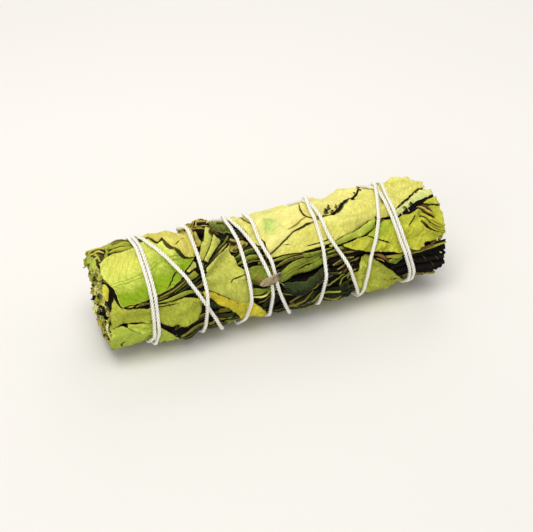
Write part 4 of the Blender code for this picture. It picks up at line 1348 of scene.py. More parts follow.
def dark_folds() -> list[Leaf]:
    """The slender dark folds low in front of the middle, over a near-black sheet of painted shade.
    """
    dark, olive, shade = Hue.DARK_GREEN, Hue.DRY_OLIVE, Hue.SHADE_GREEN
    lines = ((olive, 0.7, (2, 117), (7, 107), (11, 96), (15, 88)),
             (shade, 0.4, (13, 103), (17, 94), (21, 86), (25, 80)),
             (dark, 1.6, (13, 126), (19, 116), (24, 110)),
             (olive, 0.4, (-2, 142), (5, 117), (9, 107)),
             (dark, 2.6, (-10, 118), (-4, 113), (3, 104)),
             (shade, 0.4, (17, 106), (19, 92), (21, 84)),
             (olive, 0.5, (14, 116), (19, 108), (25, 98)),
             (dark, 2.8, (-3, 128), (6, 124), (14, 113), (20, 104)),
             (olive, 0.5, (12, 87), (16, 84), (20, 79)),
             (dark, 3.0, (0, 96), (8, 88), (14, 80)),
             (dark, 2.2, (-6, 132), (2, 128), (10, 124)),
             (dark, 3.0, (5, 138), (14, 132), (24, 124)),
             (olive, 0.6, (16, 79), (19, 77), (24, 72)),
             (shade, 0.3, (4, 104), (8, 97), (10, 90)),
             (shade, 0.3, (9, 121), (12, 112), (17, 106)),
             (olive, 0.4, (6, 131), (12, 124), (18, 120)),
             (dark, 1.4, (2, 90), (9, 84), (16, 82)),
             (olive, 0.4, (-9, 105), (-4, 101), (2, 97)),
             (shade, 0.4, (20, 100), (22, 93), (24.5, 88)),
             (olive, 1.2, (15, 74), (18, 71), (21.5, 69)),
             (Hue.RUST, 0.5, (17.5, 82), (19.5, 79), (21, 77)),
             (olive, 0.3, (-8, 94), (-5, 90), (-2.5, 88)),
             (olive, 0.3, (1, 123), (4.7, 117), (9.3, 105)))
    # A near-black sheet of painted shade under the folds.
    found = [laid("middle_hollow", Hue.BLACK, ((-12, 94), (4, 84), (24, 74)),
                  ((-12, 140), (6, 140), (25, 132)), crumple=0.6, crumple_size=2.4)]
    for k, (hue, width, *line) in enumerate(lines):
        found.append(sliver(f"dark_stalk_{k + 1}", hue, tuple(line), width, crumple=0.25,
                            crumple_size=2.2, tone=(0.7, 1.3)))
    return found


def middle_leaves() -> list[Leaf]:
    """The leaves of the middle that lie under the yellow ones and the string."""
    shade, olive = Hue.SHADE_GREEN, Hue.DRY_OLIVE
    return [
        laid("leaf_olive_mid", Hue.SHADE_GREEN, ((-13, 55), (-7.6, 54.5), (-2, 60)),
             ((-13, 73), (-8, 78), (-3, 77)), slot="olive",
             tone=(0.6, 0.3, 1.1), lift=0.1, patches=((-8, 70, 1.6, 0.8),)),
        laid("leaf_green_mid", Hue.SHADE_GREEN, ((-13, 77.5), (-8.5, 80), (-5.5, 83.5), (-2, 85)),
             ((-13, 91), (-8.5, 91.5), (-5.8, 89), (-2, 87.5)), slot="green",
             tone=(0.5, 0.1, -0.4), lift=0.25),
        sliver("mid_edge", Hue.PALE_GREEN, ((-11.5, 88.8), (-8.4, 89.6), (-6, 87.2)), 0.45,
               tone=(-0.2, 0.4)),
        sliver("stripe_1", Hue.DARK_GREEN, ((-14, 35), (-10, 32), (-4, 31)), 1.5),
        sliver("stripe_2", shade, ((-14, 41), (-10.1, 36.8), (-4, 34.5)), 1.3, tone=(0.3, 1.0)),
        sliver("stripe_3", Hue.DARK_GREEN, ((-13.5, 44), (-9.9, 40), (-4, 39)), 0.9),
        sliver("stripe_4", shade, ((-13, 48), (-9.7, 44.2), (-4, 44)), 1.3, tone=(-0.3, 0.7)),
        sliver("stripe_5", olive, ((-12.4, 52), (-9, 48), (-4, 50)), 0.5, tone=(0.2, 0.9)),
        laid("leaf_curved_green", shade, ((22, 57), (16, 55), (10, 55.5), (5, 57), (1.4, 61),
                                          (-1.8, 69)),
             ((22, 61), (17, 62), (12.5, 68), (9.2, 72), (5.3, 75.5), (1.4, 79), (-2, 80)),
             lift=0.3, rib=0.45, tone=(0.5, 0.1, 0.5),
             cracks=(((4.2, 70), (6.4, 66), (9.2, 64.5)),),
             creases=(Crease(((2, 74), (7, 72), (12, 65)), 0.35, 0.5),)),
        sliver("under_long_1", shade, ((-4, 53), (2, 52), (9, 55), (16, 53)), 1.1),
        sliver("under_long_2", shade, ((14, 58), (20, 55), (27, 49)), 1.1),
        sliver("under_long_3", olive, ((12, 62), (18, 63), (23, 62)), 0.9),
        sliver("under_long_4", olive, ((-2.4, 61), (1, 56), (6, 54)), 1.0, tone=(0.4, 1.0)),
        laid("dark_leaf", Hue.DARK_GREEN, ((-1, 82.5), (3, 82), (8, 80), (12.5, 75)),
             ((0.6, 92), (5.2, 95), (9, 89), (13.5, 83)), lift=0.2, crumple=0.5,
             crumple_size=1.8, tone=(0.2, 1.0)),
        laid("leaf_mossy_tip", Hue.MOSS, ((-19, -38), (-13, -38), (-9, -24)),
             ((-19, -24), (-15, 4), (-11.5, 9)), lift=0.2, crumple=0.7, crumple_size=1.3,
             step=0.25, tone=(0.0, 0.5, 1.2), hairs=1300, hair_length=0.6),
        *pleats(),
        sliver("fold_stem_1", shade, ((-23.9, 42.5), (-19.5, 28.5), (-12.8, 10)), 1.0,
               crest=0.5, tone=(0.0, 0.5)),
        sliver("fold_stem_2", shade, ((-23.4, 46), (-18.4, 31.5), (-12.1, 13.5)), 0.9,
               crest=0.5),
        sliver("fold_stem_4", Hue.DARK_GREEN, ((-22.5, 47), (-17.6, 32.5), (-12.4, 17)), 0.6),
        sliver("fold_stem_3", Hue.WARM_YELLOW, ((-22.8, 48), (-18.7, 36), (-16.1, 28),
                                                (-13.6, 22)), 1.3, crest=0.8, tone=(0.6, 1.4)),
        # Thin pale sliver along the ochre fold: painted highlight.
        sliver("fold_stem_5", Hue.PALE_YELLOW, ((-19.6, 38.5), (-16.4, 29), (-14.2, 23.5)),
               0.4, crest=0.8, tone=(0.0, 0.5)),
        laid("ochre_tuck", Hue.WARM_YELLOW, ((-14.2, 21), (-12, 17.5), (-9.8, 16), (-7.8, 21)),
             ((-14.0, 29), (-12.6, 33.5), (-10, 30), (-8, 26)), lift=0.3, crumple=0.45,
             crumple_size=1.5, torn=0.25, step=0.25, tone=(1.1, 0.4),
             cracks=(((-11.4, 18), (-10.4, 22), (-9.4, 26)),)),
        # Pale slivers on the tuck's folds: painted highlights.
        sliver("tuck_light_1", Hue.PALE_YELLOW, ((-14, 24), (-12.2, 20.5), (-10.6, 18)), 0.6,
               crest=0.6, tone=(0.2, 0.8)),
        sliver("tuck_light_2", Hue.WARM_YELLOW, ((-12.8, 31), (-11, 27.5), (-9.2, 26)), 0.6,
               crest=0.7, tone=(0.0, 0.6)),
        sliver("tuck_dark", Hue.RUST, ((-12.6, 17), (-10.4, 15), (-8.8, 18)), 0.6,
               tone=(0.4, 1.0)),
        laid("leaf_folded_left", Hue.PALE_GREEN,
             ((-18.2, -3), (-20.0, 6), (-21.6, 16), (-22.8, 29)),
             ((-16.8, -1), (-17.2, 9), (-20.4, 29), (-21.8, 38)), lift=0.2,
             tone=(0.1, 0.6, 1.1)),
        laid("leaf_folded_right", Hue.PALE_GREEN, ((-16.7, 5), (-19.1, 20), (-22.1, 35)),
             ((-15.2, 11), (-16.4, 18), (-18.3, 25.5), (-21.4, 38.5)), lift=0.25,
             tone=(0.2, 0.5, 1.1)),
        sliver("fold_curl", Hue.RUST, ((-17.6, 1), (-16.4, 3.5), (-15.4, 7)), 0.8,
               crest=0.5, tone=(0.3, 1.0)),
    ]


def pleats(count: int = 5) -> list[Leaf]:
    """A sheet in wavy folds beside the mossy tip, with cream edges as painted highlights on the
    crests and dark gaps as painted shade between the folds.

    Args:
        count: Number of pleats.

    Returns:
        The pleats.
    """
    found = [laid("pleat_sheet", Hue.DRY_OLIVE, ((-23.4, -46), (-20, -47), (-16, -46)),
                  ((-23.4, 1), (-21, -1), (-17.6, 0)), lift=0.0, crumple=0.2, crumple_size=2.0,
                  step=0.25, tone=(-0.5, 0.1)),
             laid("pleat_end", Hue.WARM_YELLOW, ((-23.7, -2), (-22.2, -2), (-20.4, 4)),
                  ((-23.6, 19), (-22.3, 14), (-20.8, 11)), lift=0.05, tone=(0.5, 1.2))]
    for k in range(count):
        start, drop = -31 + 6.5 * k + (0, 1.2, -0.6, 1.0, 0)[k % 5], -10 + 3 * k
        sway = (1.0, 0.6, 1.3, 0.8, 0.4)[k % 5]
        wave = tuple((x, start + share * drop + rise * sway) for x, share, rise in (
            (-23.3, 0, 0), (-21.7, 0.4, -1.8), (-20.4, 0.4, 0.8), (-18.9, 0.8, -1.4),
            (-17.6, 0.8, 1.2), (-16.2, 1.1, 0.2)))
        # Near-black sliver of painted shade in the gap beside each pleat.
        found.append(sliver(f"pleat_gap_{k + 1}", Hue.BLACK,
                            tuple((x + 0.2, a + 3.0) for x, a in wave), 0.7, crest=0.0,
                            step=0.25))
        # Cream sliver along each crest: painted highlight.
        found.append(sliver(f"pleat_{k + 1}", Hue.WARM_YELLOW, wave, 0.55, crest=0.25,
                            step=0.25, tone=(-0.1, 0.7)))
    return found


def right_end_leaves() -> list[Leaf]:
    """The deeper leaves at the right end, with near-black sheets and folds of painted shade."""
    black, olive = Hue.BLACK, Hue.DRY_OLIVE
    return [
        # Near-black sheets and folds of painted shade low at the end.
        laid("leaf_dark_end", black, ((31, 78), (38, 78), (45, 76), (51.3, 74)),
             ((31.9, 92), (36, 110), (44, 118), (51.3, 120)), crumple=0.7, crumple_size=2.0,
             torn=0.2),
        sliver("end_fold_1", black, ((33, 92), (41, 94), (50.5, 95)), 1.6, crest=0.8,
               tone=(-0.2, 0.4)),
        sliver("end_fold_2", black, ((35, 101), (42, 103), (51, 103)), 1.5, crest=0.8,
               tone=(-0.2, 0.4)),
        sliver("end_fold_3", olive, ((33, 112), (40, 119), (49, 122)), 1.8, crest=0.5),
        sliver("end_grey", Hue.SHADE_GREEN, ((31.6, 82.5), (34.5, 84), (37, 84.5)), 1.6,
               tone=(0.2, 1.0)),
        *[sliver(f"end_crumb_{k + 1}", Hue.RUST, ((x - 0.5, a - 2), (x, a), (x + 0.4, a + 2.5)),
                 0.2, step=0.15, crest=0.1, tone=(0.8, 1.2)) for k, (x, a) in enumerate(
                     ((44, 90), (48, 93), (46.5, 99)))],
        # Near-black sheet of painted shade under the slim strip.
        laid("strip_hollow", black, ((51.4, 8), (46, 16), (40, 26), (35, 31)),
             ((51.4, 30), (45, 34), (40, 38), (34, 40))),
    ]


def top_leaves() -> list[Leaf]:
    """The large leaves that lie on all the others."""
    return [
        laid("leaf_long_yellow", Hue.PALE_YELLOW, ((38, -34), (32, -25), (28.2, -10.5), (25.5, -2),
                                                   (20.4, 7.5), (16, 9), (9, 9), (1, 22),
                                                   (-4.6, 40)),
             ((38.5, 27), (29.5, 35), (18, 46), (8, 50), (-4, 48)), lift=0.3,
             tone=(0.0, 0.65),
             creases=(Crease(((29.5, 1), (31.6, 6), (32.2, 15), (31.8, 23)), 0.4, 0.5),),
             cracks=(((2, 37), (4, 38)), ((8, 44.5), (13, 44), (17, 41.5)),
                     )),
        laid("leaf_point_yellow", Hue.PALE_YELLOW, ((-1, -46), (-1, -10), (-4, 34)),
             ((-12, -46), (-9, -6), (-6, 30)), lift=0.3, tone=(0.0, 0.35)),
        laid("leaf_broad_yellow", Hue.SUN_YELLOW, ((20, -56), (18, -30), (16.6, 3), (14.4, 14.5),
                                                    (11.8, 18.6), (6, 24.8), (2.6, 31.5),
                                                    (-3, 44)),
             ((-4, -56), (-5, -30), (-5, 0), (-4.2, 22), (-3.4, 34), (-3.2, 44)), lift=0.35,
             tone=(0.1, 0.3),
             patches=((-0.6, 12, 2.6, 0.8), (0.8, 0, 2.0, 0.7), (1.5, -26, 2.4, 0.6))),
        sliver("broad_line", Hue.WARM_YELLOW, ((4.6, 22), (8, 16), (11, 9)), 0.3, crest=0.0,
               step=0.2, tone=(0.9, 1.3)),
        laid("leaf_ridge_yellow", Hue.SUN_YELLOW, ((37, -54), (37, -42), (32.6, -28), (28, -12.5),
                                                   (25.4, -4), (20, 5.6), (16, 12.5)),
             ((16, -54), (14, -42), (12, -20), (11, 0), (13, 16)), lift=0.5,
             tone=(0.3, 0.3)),
        sliver("ridge_shade", Hue.BLACK, ((21.6, 7.5), (24, 2), (26.2, -3), (28.4, -9.5)), 0.26,
               crest=0.0, step=0.2),
        *[sliver(f"ridge_bit_{k + 1}", Hue.BLACK, ((x - r, a - 1), (x, a), (x + r, a + 1)),
                 1.2 * r, crest=0.1, step=0.2) for k, (x, a, r) in enumerate(
                     ((18.1, 2.4, 0.45), (19.2, -0.6, 0.2), (19.9, 5, 0.3), (21.4, 1, 0.15),
                      (22.8, 2.4, 0.2), (27.9, -10, 0.3), (29.6, -19, 0.25),
                      (31.6, -25, 0.4), (30.8, 31, 0.3), (28.4, 36, 0.3),
                      (25.9, 38.6, 0.2)))],
        laid("light_strip", Hue.GREEN, ((15, 50), (17.5, 46.5), (25.4, 38.4), (30, 32.5)),
             ((15.5, 52.5), (18.2, 51), (23, 48.8), (26.4, 46.5), (30.4, 41)), lift=0.25,
             tone=(-0.3, 0.2)),
        laid("leaf_slim_strip", Hue.WHITISH, ((51.6, 4), (49.4, 0), (45.4, 8), (41.3, 18),
                                              (36.7, 29)),
             ((51.4, 14), (47.2, 19.5), (43.2, 24), (40.3, 29), (37, 34)), lift=0.25,
             crumple=0.4, crumple_size=1.6, tone=(0.0, 0.4),
             creases=(Crease(((50.5, 9), (46, 14), (41, 24)), 0.5, 0.35),)),
        *[sliver(f"strip_crumb_{k + 1}", hue, ((x - 0.4, a - 1), (x, a), (x + 0.5, a + 1.5)),
                 0.3, step=0.15, crest=0.1) for k, (hue, x, a) in enumerate(
                     ((Hue.BLACK, 40.6, 26), (Hue.WHITISH, 41.6, 29), (Hue.BLACK, 43, 22.6),
                      (Hue.WHITISH, 39.2, 32)))],
        sliver("under_crumple_1", Hue.OLIVE, ((30, 76.5), (38.8, 80.5), (45, 78.5),
                                                  (51.2, 77)), 1.1, tone=(1.0, 1.5)),
        sliver("under_crumple_2", Hue.RUST, ((37, 77.8), (42, 77), (47, 75)), 0.5,
               tone=(0.2, 0.8)),
        sliver("under_crumple_3", Hue.RUST, ((28.3, 74), (30.2, 75.5), (31.8, 82)), 1.0,
               tone=(0.2, 0.9)),
        sliver("under_crumple_4", Hue.OLIVE, ((28.6, 77), (30, 79.5), (30.8, 83)), 0.5,
               tone=(0.6, 1.2)),
        laid("leaf_crumpled_end", Hue.GOLD_GREEN, ((51.6, 21), (47.6, 27), (43.9, 32),
                                                   (36.7, 36), (31, 38), (28.8, 44.5),
                                                   (26.1, 48.5), (22.9, 50.4), (19, 52.6)),
             ((51.6, 66), (47.9, 71), (43.5, 74), (38.9, 76.5), (35.1, 75), (29.1, 70),
              (22.8, 62), (19.2, 55)), slot="yellow_green",
             lift=0.4, crumple=0.5, crumple_size=5.0, torn=0.18, step=0.25, tone=(0.6, 0.3, 0.7),
             base=((0, 0), (0.2, -0.5), (0.35, -0.1), (0.55, -0.4), (0.75, 0.2), (1, 0)),
             creases=(Crease(((44.3, 33), (42.6, 40), (39.9, 47), (39.1, 51)), 0.9, 0.6),
                      Crease(((44.2, 50), (45.6, 57), (47.8, 63), (50.2, 67)), 1.1, 0.32),
                      Crease(((44.7, 43), (46.2, 50), (48.6, 57), (51.0, 62)), 1.3, 0.34),
                      Crease(((46.0, 39), (47.4, 45), (49.4, 51), (51.4, 56)), 1.2, 0.34),
                      Crease(((48.4, 37), (49.6, 42), (51.2, 47)), 1.0, 0.34)),
             cracks=(((26.6, 48), (29.8, 55), (34.1, 64)), ((43.3, 36), (41.9, 42), (39.6, 49)),
                     ((45.2, 51), (47.0, 57), (49.2, 61.5)), ((47.4, 40), (49.2, 46))),
             patches=((30, 45, 3.5, 0.8), (36, 42, 3.0, 0.5))),
        # Light slivers on the crests of the end's ridges: painted highlights.
        sliver("end_ridge_1", Hue.GOLD_GREEN, ((44.9, 40), (46.6, 47), (48.8, 53.5), (51, 59)),
               0.36, crest=0.1, step=0.2, tone=(-0.8, -0.4)),
        sliver("end_ridge_2", Hue.GOLD_GREEN, ((44.6, 46), (46.2, 53), (48.4, 59.5), (50.4, 63.5)),
               0.34, crest=0.1, step=0.2, tone=(-0.8, -0.4)),
        sliver("curl_gap", Hue.RUST, ((44.9, 27), (46.6, 29), (47.9, 34), (48.4, 39)), 0.8,
               step=0.2, crest=0.0, tone=(0.6, 1.3)),
        sliver("end_curl_right", Hue.WARM_YELLOW, ((44.3, 28.5), (45.9, 32), (47.6, 38),
                                                   (48.8, 43.5)), 0.55, step=0.2, crest=0.4,
               tone=(-0.3, 0.5)),
        laid("end_curl_top", Hue.GOLD_GREEN, ((47.2, 24), (49, 21.5), (51.6, 22)),
             ((47.6, 27), (49.4, 28), (51.6, 31)), lift=0.1, crumple=0.35, crumple_size=1.6,
             step=0.25, tone=(0.2, 0.8)),
        laid("leaf_right_shoulder", Hue.PALE_YELLOW, ((51.3, -38), (44, -38), (36.4, -36)),
             ((50.6, 1), (49.3, -1), (45.5, 7), (40.9, 18), (37.6, 26.5), (36.2, 32)),
             lift=0.35,
             crumple=0.4, tone=(0.1, 0.5),
             creases=(Crease(((39.1, -24), (40.8, -17), (44.6, -22), (48.6, -29)), 1.0, 0.4),
                      Crease(((43.5, -33), (46.5, -34), (49.5, -37)), 0.7, 0.4),
                      Crease(((38, 8), (42, -2), (49, -12)), 0.35, 0.5)),
             patches=((42, -19, 1.2, 0.5), (46, -25, 1.2, 0.5))),
        laid("leaf_lower_left", Hue.GREEN, ((-51.2, 91), (-48.2, 89), (-45.8, 95), (-43, 101),
                                            (-40.1, 108), (-36, 128)),
             ((-51.4, 130), (-47, 144), (-40.5, 149), (-36, 152)), lift=0.35,
             tone=(0.25, 0.55), cracks=(((-48, 132), (-48.4, 122), (-47, 114)),),
             base=((0, 0), (0.4, -0.5), (1, 0))),
        laid("leaf_slim_left", Hue.GREEN, ((-46.4, 88), (-44.9, 89), (-40.1, 93.5), (-37.1, 103),
                                           (-34.2, 118), (-31.6, 133), (-29.4, 146)),
             ((-46.8, 91), (-45.8, 94), (-43.2, 101), (-40.1, 107), (-39, 122),
              (-36.4, 147)), slot="yellow_green", lift=0.3, tone=(-0.2, 0.3, 0.0), crumple=0.35,
             creases=(Crease(((-38, 114), (-35.4, 126), (-32.6, 138)), 0.4, 0.4),)),
        laid("leaf_olive_left", Hue.OLIVE, ((-49.4, 53), (-48.8, 61), (-47.2, 67.5),
                                            (-44.3, 70), (-40.1, 74), (-37.8, 73), (-32.7, 72),
                                            (-28.3, 72), (-24.2, 77)),
             ((-51, 89), (-47.9, 87), (-44.4, 87), (-40.3, 92), (-37.2, 95), (-30.7, 104),
              (-27, 100), (-24, 80)), lift=0.35, tone=(0.25, 0.75),
             base=((0, 0), (0.29, -0.8), (0.6, -0.9), (1, 0)),
             cracks=(((-40, 76.5), (-36, 76), (-31.5, 77)),)),
        laid("leaf_green_left", Hue.FRESH, ((-50.7, 13), (-47.3, 9), (-44, 6), (-41.4, 2.5),
                                     (-38.6, -6), (-35, -18), (-30, -8), (-24.6, 18)),
             ((-47.6, 65), (-44, 65), (-40, 64), (-37.5, 61), (-34.8, 58.5), (-31.2, 53),
              (-28.3, 42.5), (-25.8, 34), (-24.4, 28)), lift=0.5,
             tone=(0.0, 0.12, 0.7, 1.7), rib=0.55, crumple=0.3,
             base=((0, 0), (0.17, -0.9), (0.33, -1.4), (0.48, -0.6), (0.6, -0.3), (0.73, 0.1),
                   (0.9, -0.5), (1, 0)),
             cracks=(((-34.5, 56.5), (-32.8, 50), (-31.6, 44), (-30, 38.5)),),
             patches=((-46, 16, 4.0, 0.9), (-40, 10, 3.0, 0.6))),
        laid("end_blade", Hue.GOLD_GREEN, ((-51.3, 37), (-52.0, 43), (-52.2, 49),
                                           (-51.4, 56)),
             ((-50.8, 38), (-50.3, 43), (-50.6, 49), (-51.2, 56)), lift=0.3, step=0.25,
             tone=(0.2, 0.9)),
        laid("leaf_yellow_left", Hue.WARM_YELLOW, ((-37, -42), (-30, -46), (-25.2, -42),
                                                   (-23.2, -24), (-22.6, 2)),
             ((-35.2, -21), (-34.3, -17), (-32.1, -7), (-30.5, 8), (-28.1, 17), (-24.4, 26),
              (-22.8, 19)), lift=0.0, crumple=0.14, tone=(0.1, 0.3),
             cracks=(((-26.5, 4.5), (-25, 2)), ((-29, 12), (-27, 8)))),
        laid("leaf_ochre", Hue.OCHRE, ((-24.9, 67), (-21, 72), (-16.7, 80), (-12, 92),
                                       (-8.6, 102), (-6.2, 116), (-2.8, 143)),
             ((-24.8, 74), (-21.2, 85), (-17.5, 98), (-14.8, 112), (-12.2, 131),
              (-8, 148)), lift=0.3,
             tone=(0.5, 0.8)),
        laid("leaf_pale_square", Hue.PALE_GREEN, ((-14.4, 27.5), (-18.5, 36.5), (-22.4, 45)),
             ((-9.7, 97), (-16, 84), (-23.1, 67)), lift=0.4, torn=0.06,
             tone=(0.35, 0.55, 1.1), base=((0, 0), (0.5, -0.5), (1, 0)),
             cracks=(((-16.0, 67), (-15.0, 63.4), (-13.4, 62), (-11.8, 60.4), (-11.0, 58.6)),)),
        laid("leaf_triangle_low", Hue.OLIVE, ((26, 140), (23, 114), (22, 88), (24, 72)),
             ((41, 138), (37, 114), (31, 88), (26, 71)), lift=0.35,
             tone=(-0.3, 0.3, 0.8), rib=0.3, crumple=0.4, crumple_size=3.0,
             creases=(Crease(((23.5, 74), (25.5, 90), (28.5, 108)), 0.4, 0.35),
                      Crease(((30, 113), (35, 113)), 0.3, 0.5)),
             patches=((33.5, 114, 1.6, 0.7),),
             cracks=(((31.2, 115.5), (34, 113), (36.6, 112.5)),)),
    ]


@dataclass
class RestingLeaf(Leaf):
    """A leaf that puffs out between two turns of string until it touches the surface."""

    spot: float = 0.0

    def radii(self, shape: Shape) -> tuple[np.ndarray, np.ndarray]:
        """Distances of both faces from the axis, raised round the rest spot."""
        inner, outer = super().radii(shape)
        along = np.clip(1 - (np.abs(self.station - self.spot) - 2.3) / 2.2, 0, 1)
        round_it = np.clip(1 - (np.abs(self.angle - 180) - 16) / 10, 0, 1)
        share = along * along * (3 - 2 * along) * round_it
        smooth = PRESSED_RADIUS - outer.max() + outer
        raised = outer + (np.minimum(smooth + 0.3, PRESSED_RADIUS) - outer) * share
        return inner + raised - outer, np.minimum(raised, PRESSED_RADIUS)


def lance(station: float, angle: float, tilt: float, length: float,
          width: float) -> tuple[Edge, Edge]:
    """The two edges of a lance-shaped leaf about a middle place.

    Args:
        station: Middle station.
        angle: Middle angle.
        tilt: Turn from the bunch's axis in degrees.
        length: Length in millimetres.
        width: Width in millimetres.

    Returns:
        Both edges from base to tip.
    """
    spots = np.linspace(0, 1, 6)
    half = 0.5 * width * np.sin(math.pi * (0.16 + 0.80 * spots)) ** 0.8
    along = (spots - 0.5) * length
    turn = math.radians(tilt)
    edges = []
    for across in (-half, half):
        x = station + along * math.cos(turn) - across * math.sin(turn)
        w = along * math.sin(turn) + across * math.cos(turn)
        edges.append(tuple((a, angle + b / MM_PER_DEGREE) for a, b in zip(x, w)))
    return edges[0], edges[1]


def far_side_leaves() -> list[Leaf]:
    """Rows of leaves for the back and the underside, by the frame's own seeded rule."""
    hues = (Hue.OLIVE, Hue.PALE_YELLOW, Hue.GREEN, Hue.FRESH, Hue.PALE_GREEN, Hue.OLIVE,
            Hue.OCHRE)
    slots = ("olive", "pale_yellow", "green", "yellow_green", "pale_green", "olive", "ochre")
    draw = np.random.default_rng(SEED)
    found: list[Leaf] = []
    for row, angle in enumerate((168, 212, 256, 300)):
        for column, station in enumerate((-33, 0, 33)):
            tilt = draw.uniform(-14, 14)
            length = 44.0 * draw.uniform(0.88, 1.0)
            width = 16.0 * draw.uniform(0.9, 1.1)
            limit = (BUNCH_LENGTH - length * math.cos(math.radians(tilt))) / 2 - 1.5
            middle = max(-limit, min(limit, station + draw.uniform(-4, 4)))
            if (row + column) % 2:
                tilt += 180
            edges = lance(middle, angle + draw.uniform(-5, 5), tilt, length, width)
            pick = (3 * row + 2 * column) % len(hues)
            found.append(Leaf(f"leaf_back_{len(found) + 1:02d}", hues[pick], slots[pick],
                              *edges, lift=0.4, crumple=0.4, rib=0.5, step=0.42, torn=0.4,
                              tone=(0.2, 0.7), creases=(Crease(((middle - 9, angle - 8),
                                                               (middle, angle + 3),
                                                               (middle + 9, angle - 4)),
                                                              0.35, 0.6),)))
    for k, station in enumerate((-33.2, -8.2, 34.0)):
        edges = lance(station, 181, 6 - 5 * k, 30.0, 13.0)
        found.append(RestingLeaf(f"leaf_underside_{k + 1}", hues[k], slots[k], *edges,
                                 lift=0.1, crumple=0.2, step=0.42, spot=station))
    return found


@dataclass
class PackedLeaves:
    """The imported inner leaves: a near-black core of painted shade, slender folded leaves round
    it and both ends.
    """

    half_length: float = 47.5
    strips: int = 150
    cap_shares: tuple[float, ...] = (0.8, 0.6, 0.4, 0.2, 0.03)

    def relief(self, layers: Layers) -> None:
        """Gives the map the core's long folds."""
        station, angle = layers.stations[:, None], layers.angles[None, :]
        lean = angle + 0.25 * station
        wide = 0.16 * np.cos(np.radians(5 * lean + 2 * station))
        layers.top[:] = 0.30 * np.cos(np.radians(12 * lean)) + wide

    def slivers(self) -> list[Leaf]:
        """Slender leaves all round, by a seeded draw."""
        draw = np.random.default_rng(SEED + 11)
        # Mostly dark green and near black, for painted shade deep in the bunch, with some dry
        # olive.
        hues = (Hue.DARK_GREEN, Hue.DARK_GREEN, Hue.BLACK, Hue.DRY_OLIVE)
        found = []
        for k in range(self.strips):
            length = draw.uniform(12, 26)
            limit = self.half_length - length / 2
            station, angle = draw.uniform(-limit, limit), draw.uniform(0, 360)
            tilt = draw.normal(0, 14)
            reach = length / 2 * math.sin(math.radians(tilt)) / MM_PER_DEGREE
            bow = draw.normal(0, 4)
            line = ((station - length / 2, angle - reach), (station, angle + bow),
                    (station + length / 2, angle + reach))
            found.append(sliver(f"packed_{k + 1}", hues[draw.integers(len(hues))], line,
                                draw.uniform(1.4, 3.4), step=0.6, crest=draw.uniform(0.2, 0.6),
                                seed=300 + k))
        return found

    def build_core(self, shape: Shape, layers: Layers) -> bpy.types.Object:
        """The near-black core, painted shade deep in the bunch, with rough ends, as one piece that
        stands for the inner leaves.
        """
        stations = np.arange(-self.half_length, self.half_length + 0.1, 0.8)
        angles = np.arange(0, 360, 2.5)
        x, a = np.meshgrid(stations, angles, indexing="ij")
        rough = 0.25 * Ripple(3, 3.0).at(x, a * MM_PER_DEGREE)
        radius = shape.radius(x, a, layers.read(x, a) - 0.35 + rough)
        grid = shape.place(x, a, radius)
        caps: dict[int, list[np.ndarray]] = {0: [], -1: []}
        for end, side in ((0, -1), (-1, 1)):
            for share in self.cap_shares:
                bumps = 0.8 * Ripple(9, 3.5).at(radius[end] * share, a[end] * 0.1)
                caps[end].append(shape.place(x[end] + side * (0.4 + bumps), a[end],
                                             radius[end] * share))
        rings = np.concatenate([np.stack(caps[0][::-1]), grid, np.stack(caps[-1])])
        rows, columns = rings.shape[:2]
        points = rings.reshape(-1, 3)
        i, j = np.meshgrid(np.arange(rows - 1), np.arange(columns), indexing="ij")
        p, q = i * columns + j, i * columns + (j + 1) % columns
        faces = np.stack([p, q, q + columns, p + columns], axis=-1).reshape(-1, 4)
        at = points / MM
        skin = Skin()
        skin.add(points, faces, at)
        return skin.piece("inner_leaves_core", Hue.BLACK.material(), "inner",
                          ("inner_leaves",))


